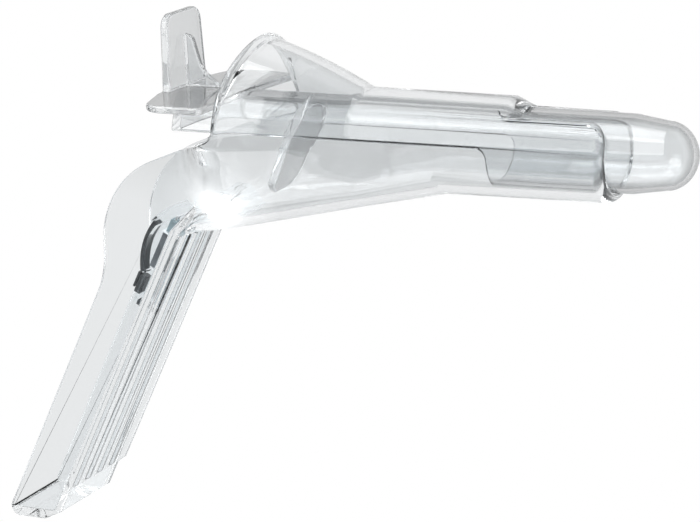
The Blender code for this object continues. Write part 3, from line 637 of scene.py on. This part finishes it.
@dataclass
class GripRibs:
    """The ribs down the front of the handle, repeated with geometry nodes."""

    count: int = 5
    width: float = 1.4
    span: float = 23.6

    def build(self, outline: Sequence[Point2]) -> Solid:
        """Make one rib and repeat it across the handle.

        Args:
            outline: The side view of a rib.

        Returns:
            All the ribs as one solid.
        """
        rib = Solid.slab("grip_rib", outline, -self.width / 2, self.width / 2)
        tree = bpy.data.node_groups.new("grip_ribs", "GeometryNodeTree")
        face = tree.interface
        face.new_socket("Geometry", in_out="INPUT", socket_type="NodeSocketGeometry")
        count = face.new_socket("Count", in_out="INPUT", socket_type="NodeSocketInt")
        span = face.new_socket("Span", in_out="INPUT", socket_type="NodeSocketFloat")
        face.new_socket("Geometry", in_out="OUTPUT", socket_type="NodeSocketGeometry")
        graph = Graph(tree)
        given = graph.node("NodeGroupInput")
        half = given["Span"] * 0.5
        start = graph.node("ShaderNodeCombineXYZ", {}, {"Z": 0.0 - half})["Vector"]
        end = graph.node("ShaderNodeCombineXYZ", {}, {"Z": half})["Vector"]
        line = graph.node(
            "GeometryNodeMeshLine",
            {"mode": "END_POINTS"},
            {"Count": given["Count"], "Start Location": start, "Offset": end},
        )["Mesh"]
        copies = graph.node(
            "GeometryNodeInstanceOnPoints", {}, {"Points": line, "Instance": given["Geometry"]}
        )["Instances"]
        real = graph.node("GeometryNodeRealizeInstances", {}, {"Geometry": copies})["Geometry"]
        dressed = graph.node("GeometryNodeSetMaterial", {}, {"Geometry": real})["Geometry"]
        graph.node("NodeGroupOutput", {}, {"Geometry": dressed})
        step = rib.object.modifiers.new("repeat", "NODES")
        step.node_group = tree
        step[count.identifier] = self.count
        step[span.identifier] = self.span
        rib.bake()
        return rib


@dataclass
class Speculum:
    """The sheath, funnel, keel and handle, which are one clear moulding."""

    shared: Moulding
    ribs: GripRibs = field(default_factory=GripRibs)
    rear: float = 20.5
    wall: float = 2.0
    mouth_rounding: float = 2.7
    window_length: float = 26.3
    window_sill: float = 7.9
    funnel_length: float = 28.0
    funnel_half_width: float = 24.7
    funnel_flare: float = 0.28
    body_half_width: float = 17.0
    lip: float = 1.35
    keel_angle: float = math.radians(11.5)
    handle_width: float = 25.0
    handle_wall: float = 1.8
    front_x: float = -66.2
    depth: float = 16.4
    floor: float = 2.0
    palm_slope: float = math.radians(21.6)
    palm_x: float = -87.3
    palm_radius: float = 22.6
    toe: float = 4.6
    rib_height: float = 1.5
    rib_end: float = 10.2

    def skin_radius(self, x: float) -> float:
        """Outer radius of the sheath at x."""
        return self.shared.bore_radius(x) + self.wall

    def flare(self, x: float) -> float:
        """Share of the funnel's widening at x, which is fastest by the sheath."""
        along = min(1.0, max(0.0, (-self.rear - x) / self.funnel_length))
        return along * (1.0 + self.funnel_flare * (1.0 - along))

    def behind_rim(self, x: float) -> float:
        """0 at the funnel's rim to 1 where the part has narrowed to the handle."""
        return smooth_share(-x, self.rear + self.funnel_length + 3.0, -self.front_x)

    def skin_top(self, x: float) -> float:
        """Height of the outer skin at x."""
        start = self.skin_radius(max(x, -self.rear))
        return start + (self.shared.crown + self.wall / 2 - start) * self.flare(x)

    def half_width(self, x: float, widest: float) -> float:
        """Outer half width at x.

        Args:
            x: The place along the axis.
            widest: The half width at the rim.

        Returns:
            The sheath's radius, then wider up to the rim, and the handle's half width behind it.
        """
        start = self.skin_radius(max(x, -self.rear))
        wide = start + (widest - start) * self.flare(x)
        return wide + (self.handle_width / 2 - wide) * self.behind_rim(x)

    def keel_y(self, x: float) -> float:
        """Height of the outer underside at x."""
        return -self.skin_radius(max(x, 0.0)) + min(x, 0.0) * math.tan(self.keel_angle)

    def section(self, x: float, inset: float) -> list[Point3]:
        """Section of the sheath, funnel and keel.

        Args:
            x: Its place along the axis.
            inset: How far it lies inside the outer skin.

        Returns:
            The section's points.
        """
        wide = self.half_width(x, self.funnel_half_width) - inset
        body = self.half_width(x, self.body_half_width) - inset
        top = self.skin_top(x) - inset
        bottom = -self.keel_y(x) - inset
        square = 2.0 + 1.6 * smooth_share(-x, 0.0, -self.front_x)
        peak = 2.0 - 0.25 * self.flare(x)
        points: list[Point3] = []
        for step in range(ROUND_STEPS):
            turn = 2 * math.pi * step / ROUND_STEPS
            across, up = math.cos(turn), math.sin(turn)
            if up >= 0:
                side = math.copysign(abs(across) ** (2 / peak), across)
                points.append((x, top * up ** (2 / peak), wide * side))
                continue
            side = math.copysign(abs(across) ** (2 / square), across)
            down = abs(up) ** (2 / square)
            points.append((x, -bottom * down, (body + (wide - body) * (1 - down) ** 2) * side))
        return points

    def rim_lip(self) -> Solid:
        """The round bead along the funnel's rim, thinner at its two heels."""
        high = self.shared.crown
        wide = self.funnel_half_width - self.wall / 2
        steps = 3 * ROUND_STEPS // 4
        start = math.asin(((self.shared.rim_heel[1] + 2.0) / high) ** 0.875)
        rings = []
        for step in range(steps + 1):
            turn = start + (math.pi - 2 * start) * step / steps
            y = high * math.sin(turn) ** 1.143
            z = math.copysign(wide * abs(math.cos(turn)) ** 1.143, math.cos(turn))
            thick = 0.7 + (self.lip - 0.7) * smooth_share(min(step, steps - step), 0, steps / 5)
            out = Vector((y * wide * wide, z * high * high)).normalized()
            section = []
            for corner in range(24):
                angle = math.pi * corner / 12
                away = thick * math.cos(angle)
                x = self.shared.rim_x(y) + thick * math.sin(angle)
                section.append((x, y + away * out.x, z + away * out.y))
            rings.append(section)
        return Solid.loft("rim_lip", rings)

    def front(self, y: float) -> float:
        """Where the grip ribs' crests are at height y."""
        return self.front_x + (y - self.keel_y(self.front_x)) * math.tan(self.shared.handle_lean)

    def face(self, y: float) -> float:
        """Where the front face between the ribs is at height y."""
        return self.front(y) - self.rib_height

    def inner(self, y: float) -> float:
        """Where the channel's inner front face is at height y."""
        return self.face(y) - self.handle_wall / math.cos(self.shared.handle_lean)

    def palm_y(self, x: float) -> float:
        """Height of the straight rim behind the funnel at x."""
        heel_x, heel_y = self.shared.rim_heel
        return heel_y + (x - heel_x) * math.tan(self.palm_slope)

    def mouth(self) -> list[list[Point3]]:
        """Sections of the sheath's rounded open end."""
        inner = self.shared.bore_radius(SHEATH_FRONT) + 0.3
        sections = []
        for step in range(ARC_STEPS + 1):
            turn = math.pi / 2 * step / ARC_STEPS
            x = SHEATH_FRONT - self.mouth_rounding * (1 - math.cos(turn))
            sections.append(ring(x, inner + (self.skin_radius(x) - inner) * math.sin(turn)))
        return sections

    def rear_outline(self) -> list[Vector]:
        """Everything behind the rim, the palm rest and the back of the handle, and below its foot."""
        past = 30.0
        lean = math.tan(self.shared.handle_lean)
        heel_x, heel_y = self.shared.rim_heel
        neck_y = self.keel_y(self.front_x) + (self.palm_x + self.depth - self.front_x) / lean
        top = self.shared.crown + past
        rim = [(self.shared.rim_x(y), y, 0) for y in range(int(self.shared.crown) + 4, 5, -1)]
        back_x = self.front(-HANDLE_BOTTOM) - self.depth
        front_x = self.front(-HANDLE_BOTTOM) + past
        return rounded([
            (rim[0][0], top, 0),
            *rim,
            (heel_x, heel_y, 4.0),
            (self.palm_x, self.palm_y(self.palm_x), self.palm_radius),
            (self.palm_x, neck_y, 22.0),
            (back_x, -HANDLE_BOTTOM, 2.5),
            (front_x, -HANDLE_BOTTOM, 0),
            (front_x, -HANDLE_BOTTOM - past, 0),
            (back_x - past, -HANDLE_BOTTOM - past, 0),
            (back_x - past, top, 0),
        ], 2 * ARC_STEPS)

    def handle_outline(self) -> list[Point2]:
        """Side view of the handle's block before its back is cut."""
        spare = 6.0
        low = -HANDLE_BOTTOM - spare
        toe_y = -HANDLE_BOTTOM + self.toe / 2
        top = self.palm_y(self.shared.rim_heel[0]) + spare
        keel = self.keel_y(self.front_x)
        return [
            (self.shared.rim_heel[0] - spare, top),
            (self.palm_x - spare, top),
            (self.palm_x - spare, self.keel_y(self.palm_x)),
            (self.front(low) - self.depth - spare, low),
            (self.face(toe_y) - 2 * (toe_y - low), low),
            (self.face(toe_y), toe_y),
            (self.face(keel), keel),
            (self.shared.rim_heel[0] - spare, keel / 2),
        ]

    def channel_outline(self) -> list[Point2]:
        """Side view of the space inside the handle, open at the back."""
        spare = 12.0
        low = -HANDLE_BOTTOM + self.floor
        sill = self.keel_y(self.front_x) + self.wall
        top = self.palm_y(self.shared.rim_heel[0]) + spare
        return [
            (self.inner(low), low),
            (self.inner(sill), sill),
            (self.inner(sill) + spare, sill / 2),
            (self.inner(sill) + spare, top),
            (self.palm_x - spare, top),
            (self.palm_x - spare, sill),
            (self.front(low) - self.depth - spare, low),
        ]

    def rib_outline(self) -> list[Point2]:
        """Side view of one grip rib, whose end is sloped."""
        top = self.keel_y(self.front_x) + self.wall / 2
        end = -HANDLE_BOTTOM + self.rib_end
        run_out = end - 2 * self.rib_height
        inside = 1.0 / math.cos(self.shared.handle_lean)
        return [
            (self.front(top), top),
            (self.front(end), end),
            (self.face(run_out) - inside, run_out),
            (self.face(top) - inside, top),
        ]

    def window(self) -> Solid:
        """The space that the window leaves in the top of the sheath, with its bevelled rear edge."""
        back = SHEATH_FRONT - self.window_length
        high = self.skin_radius(back) + 10.0
        corners = [
            (back, high, 0),
            (back, self.window_sill, 3.0),
            (SHEATH_FRONT + 10.0, self.window_sill, 0),
            (SHEATH_FRONT + 10.0, high, 0),
        ]
        space = Solid.slab("window_space", rounded(corners), -high, high)
        outer = self.skin_radius(back) + self.shared.clearance
        cone = [
            ring(back - 5.0, outer),
            ring(back, outer),
            ring(back + 6.0, self.shared.bore_radius(back) - self.shared.clearance),
            ring(back + 6.2, 1.0),
        ]
        return space.combine(Solid.loft("window_bevel", cone), Cut.REMOVE)

    def window_ends(self) -> Solid:
        """The space outside the two rounded front corners of the window."""
        reach = 4.5
        centre_x, centre_y = SHEATH_FRONT - reach, self.window_sill - reach
        outline = [(SHEATH_FRONT + 5.0, self.window_sill + 5.0), (centre_x, self.window_sill + 5.0)]
        for step in range(ARC_STEPS + 1):
            turn = math.pi / 2 * (1 - step / ARC_STEPS)
            outline.append((centre_x + reach * math.cos(turn), centre_y + reach * math.sin(turn)))
        outline.append((SHEATH_FRONT + 5.0, centre_y))
        return Solid.slab("window_ends", outline, -15.0, 15.0)

    def build(self, material: bpy.types.Material) -> bpy.types.Object:
        """Make the moulding.

        Args:
            material: Its finish.

        Returns:
            The finished piece.
        """
        behind = self.front_x - self.depth - 12.0
        stations = [behind * step / 56 for step in range(57)]
        rings = self.mouth() + [self.section(x, 0.0) for x in (30.0, 20.0, 10.0, *stations)]
        half = self.handle_width / 2
        body = Solid.loft("speculum_fine", rings)
        body.combine(Solid.slab("handle_block", self.handle_outline(), -half, half), Cut.ADD)
        body.combine(self.ribs.build(self.rib_outline()), Cut.ADD)
        bore = [ring(SHEATH_FRONT + 4.0, self.shared.bore_radius(SHEATH_FRONT + 4.0))]
        bore += [self.section(x, self.wall) for x in stations]
        body.combine(Solid.loft("inner_space", bore), Cut.REMOVE)
        inside = half - self.handle_wall
        body.combine(Solid.slab("channel_space", self.channel_outline(), -inside, inside), Cut.REMOVE)
        body.combine(Solid.slab("rear_space", self.rear_outline(), -40.0, 40.0), Cut.REMOVE)
        body.combine(self.rim_lip(), Cut.ADD)
        body.combine(self.window(), Cut.REMOVE)
        body.combine(self.window_ends(), Cut.REMOVE)
        body.soften(0.4)
        return body.finish("speculum_clear", "speculum_body", material)


@dataclass
class Obturator:
    """The half-round stem, closed nose, flange, thumb tab and web, which are one clear moulding."""

    shared: Moulding
    wall: float = 1.7
    stem_length: float = 109.5
    edge_y: float = 1.0
    open_to: float = 12.8
    nose_straight: float = 4.0
    cone_length: float = 8.0
    cone_drop: float = 1.25
    dome_length: float = 6.5
    tip_wall: float = 1.2
    nose_wall: float = 1.0
    flange_top: float = 10.3
    flange_thickness: float = 1.8
    flange_half_width: float = 25.6
    flange_rear: float = 2.6
    flange_front: float = -51.44
    tab_half_width: float = 9.5
    tab_height: float = 18.2
    tab_thickness: float = 2.1
    tab_lean: float = math.radians(1.0)
    tab_overhang: float = 1.2
    web_thickness: float = 1.8
    foot_x: float = -38.0
    foot_depth: float = 13.3
    foot_half_width: float = 6.4

    @property
    def rear(self) -> float:
        """Where the stem ends at the back."""
        return SHEATH_FRONT - self.stem_length

    def nose(self, inset: float, tip_wall: float) -> list[list[Point3]]:
        """Sections of the nose.

        Args:
            inset: How far they lie inside the outer skin.
            tip_wall: How much shorter the dome is.

        Returns:
            The sections up to the tip.
        """
        start = SHEATH_FRONT + self.nose_straight
        end = start + self.cone_length
        base = self.shared.stem_radius(start) - inset
        sections = [ring(start, base), ring(end, base - self.cone_drop)]
        length = self.dome_length - tip_wall
        steps = 3 * ARC_STEPS
        for step in range(1, steps):
            share = math.sin(math.pi / 2 * step / steps)
            sections.append(ring(end + length * share, (base - self.cone_drop) * math.sqrt(1 - share**1.8)))
        sections.append([(end + length, 0.0, 0.0)])
        return sections

    def flange(self) -> Solid:
        """The wide flat flange behind the funnel, straight in front and bowed at the back."""
        rear = self.rear - self.flange_rear
        wide, narrow = self.flange_half_width, 11.0
        outline = rounded([
            (rear, -narrow, 14.0),
            (rear + 4.0, -wide, 6.0),
            (self.flange_front, -wide, 1.2),
            (self.flange_front, wide, 1.2),
            (rear + 4.0, wide, 6.0),
            (rear, narrow, 14.0),
        ])
        low = self.flange_top - self.flange_thickness
        made = Solid.slab("flange", outline, low, self.flange_top, 0.6)
        return made.moved(Matrix(((1, 0, 0, 0), (0, 0, 1, 0), (0, -1, 0, 0), (0, 0, 0, 1))))

    def stand(self, made: Solid, lean: float, foot: Point3) -> Solid:
        """Stand a plate across the part.

        Args:
            made: The plate, extruded along z.
            lean: How far it leans.
            foot: Where its own origin goes.

        Returns:
            The plate.
        """
        turn = Matrix.Rotation(lean, 4, "Z") @ Matrix.Rotation(math.radians(90), 4, "Y")
        return made.moved(Matrix.Translation(foot) @ turn)

    def tab(self) -> Solid:
        """The thumb tab."""
        wide, high = self.tab_half_width, self.tab_height
        low = -self.flange_thickness / 2
        narrow = wide - 1.2
        outline = rounded([(-wide, low, 0), (wide, low, 0), (narrow, high, 3.4), (-narrow, high, 3.4)])
        made = Solid.slab("thumb_tab", outline, -self.tab_thickness / 2, self.tab_thickness / 2, 0.6)
        return self.stand(made, self.tab_lean, (self.rear - self.tab_overhang, self.flange_top, 0.0))

    def web(self) -> Solid:
        """The web between the thumb tab and the stem."""
        base = self.flange_top - self.flange_thickness / 2
        back = self.rear - self.tab_overhang
        top = self.flange_top + 12.4
        outline = rounded([
            (back, base, 0),
            (back, top, 0),
            (back + 2.8, top, 2.1),
            (back + 5.2, 14.2, 6.8),
            (back + 10.6, self.flange_top, 0),
            (back + 10.6, base, 0),
        ])
        return Solid.slab("tab_web", outline, -self.web_thickness / 2, self.web_thickness / 2, 0.5)

    def foot(self) -> Solid:
        """The plate inside the stem, whose tongue reaches down into the funnel."""
        radius = self.shared.stem_radius(self.foot_x) - self.wall / 2
        outline: list[Point2] = []
        for step in range(4 * ARC_STEPS + 1):
            turn = math.pi * step / (4 * ARC_STEPS)
            outline.append((radius * math.cos(turn), self.edge_y + (radius - self.edge_y) * math.sin(turn)))
        low = -self.foot_depth / math.cos(self.shared.handle_lean)
        wide = self.foot_half_width
        outline += [(-wide, low + wide / 3), (-wide * 0.6, low), (wide * 0.6, low), (wide, low + wide / 3)]
        made = Solid.slab("stem_foot", outline, -1.0, 1.0)
        return self.stand(made, -self.shared.handle_lean, (self.foot_x, 0.0, 0.0))

    def build(self, material: bpy.types.Material) -> bpy.types.Object:
        """Make the moulding.

        Args:
            material: Its finish.

        Returns:
            The finished piece.
        """
        rear = self.rear
        places = [rear + (SHEATH_FRONT - rear) * step / 12 for step in range(13)]
        stem = Solid.loft(
            "obturator_fine", [ring(x, self.shared.stem_radius(x)) for x in places] + self.nose(0.0, 0.0)
        )
        for piece in (self.flange(), self.tab(), self.web()):
            stem.combine(piece, Cut.ADD)
        inner = self.shared.stem_radius(rear + self.wall) - self.wall
        hollow = Solid.loft("stem_hollow", [ring(rear + self.wall, inner), *self.nose(self.nose_wall, self.tip_wall)])
        stem.combine(hollow, Cut.REMOVE)
        deep = self.shared.stem_radius(rear) + 5.0
        below = rounded([
            (rear - 10.0, self.edge_y, 0),
            (rear - 10.0, -deep, 0),
            (self.open_to, -deep, 0),
            (self.open_to, self.edge_y, 2.5),
        ])
        stem.combine(Solid.slab("space_below", below, -deep, deep), Cut.REMOVE)
        stem.combine(self.foot(), Cut.ADD)
        stem.soften(0.35)
        return stem.finish("obturator_clear", "obturator", material)


@dataclass
class LightModule:
    """The light module in the top of the handle, whose pieces keep their own shapes."""

    # The case's colour holds a faint painted edge shade and the painted glow round the lamp.
    clear: ClearPlastic = ClearPlastic("clear_case", 0.05, 1.04, levels=((0.0, 0.98), (0.5, 0.96), (1.0, 0.5)))
    black: OpaqueFinish = OpaqueFinish("black_plastic", (0.028, 0.031, 0.034), 0.5, spread=0.35, grain=0.5)
    cell: OpaqueFinish = OpaqueFinish("cell_grey", (0.092, 0.102, 0.112), 0.5)
    sheet: OpaqueFinish = OpaqueFinish("sheet_white", (0.86, 0.88, 0.89), 0.5, spread=0.04)
    board: OpaqueFinish = OpaqueFinish("board_grey", (0.30, 0.34, 0.36), 0.45)
    chip: OpaqueFinish = OpaqueFinish("chip_ceramic", (0.20, 0.262, 0.285), 0.4, spread=0.1)
    wire: OpaqueFinish = OpaqueFinish("tinned_wire", (0.74, 0.75, 0.76), 0.3, metallic=1.0, grain=0.1)
    lens: LitLens = LitLens("lamp_lens")

    def dress(self, nodes: dict[str, bpy.types.Object]) -> None:
        """Give each piece of the module its finish.

        Args:
            nodes: The fixed frame's pieces by name.
        """
        wanted = {
            self.clear: ("module_case", "lamp_hood"),
            self.black: ("module_spine", "switch_body", "switch_slider", "foot_clip_front", "foot_clip_rear"),
            self.cell: ("power_cell",),
            self.sheet: ("insulating_sheet",),
            self.board: ("lamp_board",),
            self.chip: ("lamp_header", "chip_resistor_1", "chip_resistor_2", "chip_resistor_3"),
            self.wire: ("lamp_lead_positive", "lamp_lead_negative"),
            self.lens: ("lamp",),
        }
        for finish, names in wanted.items():
            made = finish.build()
            for name in names:
                mesh = nodes[name].data
                mesh.materials.clear()
                mesh.materials.append(made)
                LOG.info("%s: %s", name, finish.name)


@dataclass
class Studio:
    """The white table, the soft lamps and the camera."""

    focal_mm: float = 144.0
    eye: Point3 = (255.93, 134.13, 579.78)
    turn: float = math.radians(26.0)
    tilt: float = math.radians(14.3)
    roll: float = math.radians(2.2)
    # lit_to and dark_from bound the table's painted pool of light, in metres from its middle; mirrored is how much of
    # it reflections see.
    lit_to: float = 0.14
    dark_from: float = 0.36
    room: float = 0.35
    mirrored: float = 0.65

    def camera(self) -> None:
        """Set the camera at the photograph's viewing angle."""
        side = Vector((math.cos(self.turn), 0.0, -math.sin(self.turn)))
        ahead = -Vector((
            math.sin(self.turn) * math.cos(self.tilt),
            math.sin(self.tilt),
            math.cos(self.turn) * math.cos(self.tilt),
        ))
        up = side.cross(ahead)
        right = math.cos(self.roll) * side - math.sin(self.roll) * up
        upward = math.sin(self.roll) * side + math.cos(self.roll) * up
        data = bpy.data.cameras.new("camera")
        data.lens = self.focal_mm
        data.sensor_width = 36.0
        data.clip_start = 0.01
        made = bpy.data.objects.new("camera", data)
        turn = Matrix((right, upward, -ahead)).transposed().to_4x4()
        view = lying() @ Matrix.Translation(self.eye) @ turn
        made.matrix_world = Matrix.LocRotScale(view.to_translation(), view.to_quaternion(), None)
        bpy.context.scene.collection.objects.link(made)
        bpy.context.scene.camera = made

    def table(self) -> None:
        """The white table top, seen plain white, with a painted pool of light around the part and painted darkness
        beyond, so that edges show in reflections and through the plastic.
        """
        work = bmesh.new()
        bmesh.ops.create_grid(work, x_segments=2, y_segments=2, size=1.6)
        mesh = bpy.data.meshes.new("table")
        work.to_mesh(mesh)
        work.free()
        made = bpy.data.objects.new("table", mesh)
        made.location = (0.0, 0.0, -0.0002)
        bpy.context.scene.collection.objects.link(made)
        material, graph = new_material("table_white")
        place = graph.node("ShaderNodeTexCoord")["Object"]
        away = graph.node("ShaderNodeVectorMath", {"operation": "LENGTH"}, {0: place})["Value"]
        near = graph.node(
            "ShaderNodeMapRange",
            {"interpolation_type": "SMOOTHSTEP"},
            {"Value": away, "From Min": self.lit_to, "From Max": self.dark_from, "To Min": 1.0, "To Max": 0.0},
        )["Result"]
        # Painted light and shade: the paper's colour is pale near the part and near-black beyond.
        stops = [(0.0, (0.03, 0.033, 0.035, 1.0)), (1.0, (0.86, 0.86, 0.86, 1.0))]
        painted_shade_tone = graph.node("ShaderNodeValToRGB", {"stops": stops}, {"Fac": near})["Color"]
        white = graph.node("ShaderNodeEmission", {}, {"Color": (1.0, 1.0, 1.0, 1.0), "Strength": 1.0})["Emission"]
        paper = graph.node("ShaderNodeBsdfDiffuse", {}, {"Color": painted_shade_tone})["BSDF"]
        path = graph.node("ShaderNodeLightPath")
        # Reflections and rays through the plastic see the table's emission only inside the painted pool of light,
        # reflections less of it.
        passing = (path["Is Glossy Ray"] * self.mirrored).either(path["Is Transmission Ray"])
        share = path["Is Camera Ray"].either(passing * near * 0.95)
        surface = graph.node("ShaderNodeMixShader", {}, {"Fac": share, 1: paper, 2: white})["Shader"]
        graph.node("ShaderNodeOutputMaterial", {}, {"Surface": surface})
        mesh.materials.append(material)

    def world(self) -> None:
        """The pale room: white where it is seen, dimmer where it only lights."""
        made = bpy.data.worlds.new("room")
        made.use_nodes = True
        bpy.context.scene.world = made
        graph = Graph(made.node_tree)
        path = graph.node("ShaderNodeLightPath")
        seen = path["Is Camera Ray"]
        level = seen * (1.0 - self.room) + self.room
        shell = graph.node(
            "ShaderNodeBackground", {}, {"Color": (0.96, 0.98, 1.0, 1.0), "Strength": level}
        )["Background"]
        graph.node("ShaderNodeOutputWorld", {}, {"Surface": shell})

    def lamp(self, name: str, place: Point3, aim: Point3, size: Point2, power: float) -> None:
        """Add one soft lamp.

        Args:
            name: What it is called.
            place: Where it stands, in millimetres of the part's own frame.
            aim: What it points at.
            size: Its width and height in metres.
            power: Its power in watts.
        """
        stand, target = lying() @ Vector(place), lying() @ Vector(aim)
        data = bpy.data.lights.new(name, "AREA")
        data.shape = "RECTANGLE"
        data.size, data.size_y = size
        data.energy = power
        made = bpy.data.objects.new(name, data)
        made.location = stand
        made.rotation_euler = (target - stand).to_track_quat("-Z", "Y").to_euler()
        bpy.context.scene.collection.objects.link(made)

    def build(self) -> None:
        """Set the scene and its view."""
        self.camera()
        self.table()
        self.world()
        middle = (-30.0, -37.0, 0.0)
        self.lamp("key", (-280.0, 610.0, 830.0), middle, (1.0, 1.0), 7.0)
        self.lamp("strip", (-420.0, 765.0, 200.0), middle, (0.9, 0.8), 7.5)
        self.lamp("side", (720.0, -140.0, 430.0), middle, (0.3, 0.6), 1.2)
        self.lamp("fill", (120.0, -720.0, 330.0), middle, (1.0, 0.5), 2.8)
        scene = bpy.context.scene
        scene.view_settings.view_transform = "Standard"
        scene.cycles.max_bounces = 32
        scene.cycles.glossy_bounces = 32
        scene.cycles.transmission_bounces = 24
        scene.cycles.transparent_max_bounces = 24


def main() -> None:
    """Make the fine mouldings, dress every piece and set the scene."""
    logging.basicConfig(level=logging.INFO, format="%(message)s")
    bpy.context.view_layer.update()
    bpy.context.scene.view_settings.view_transform = "Standard"
    shared = Moulding()
    speculum = Speculum(shared).build(ClearPlastic("clear_moulding").build())
    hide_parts("speculum_body")
    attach(speculum, "speculum")
    # The obturator's painted edge shade is stronger, darkening its tab and nose tip.
    painted_edge_shade_levels = ((0.0, 0.86), (0.25, 0.85), (0.4, 0.72), (0.56, 0.36), (0.8, 0.1), (1.0, 0.01))
    obturator = Obturator(shared).build(ClearPlastic("clear_moulding_painted_dark_edges", levels=painted_edge_shade_levels).build())
    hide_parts("obturator")
    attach(obturator, "obturator")
    for piece in (speculum, obturator):
        LOG.info("%s: %d faces", piece.name, len(piece.data.polygons))
    LightModule().dress(frame["nodes"])
    Studio().build()


if __name__ == "__main__":
    main()
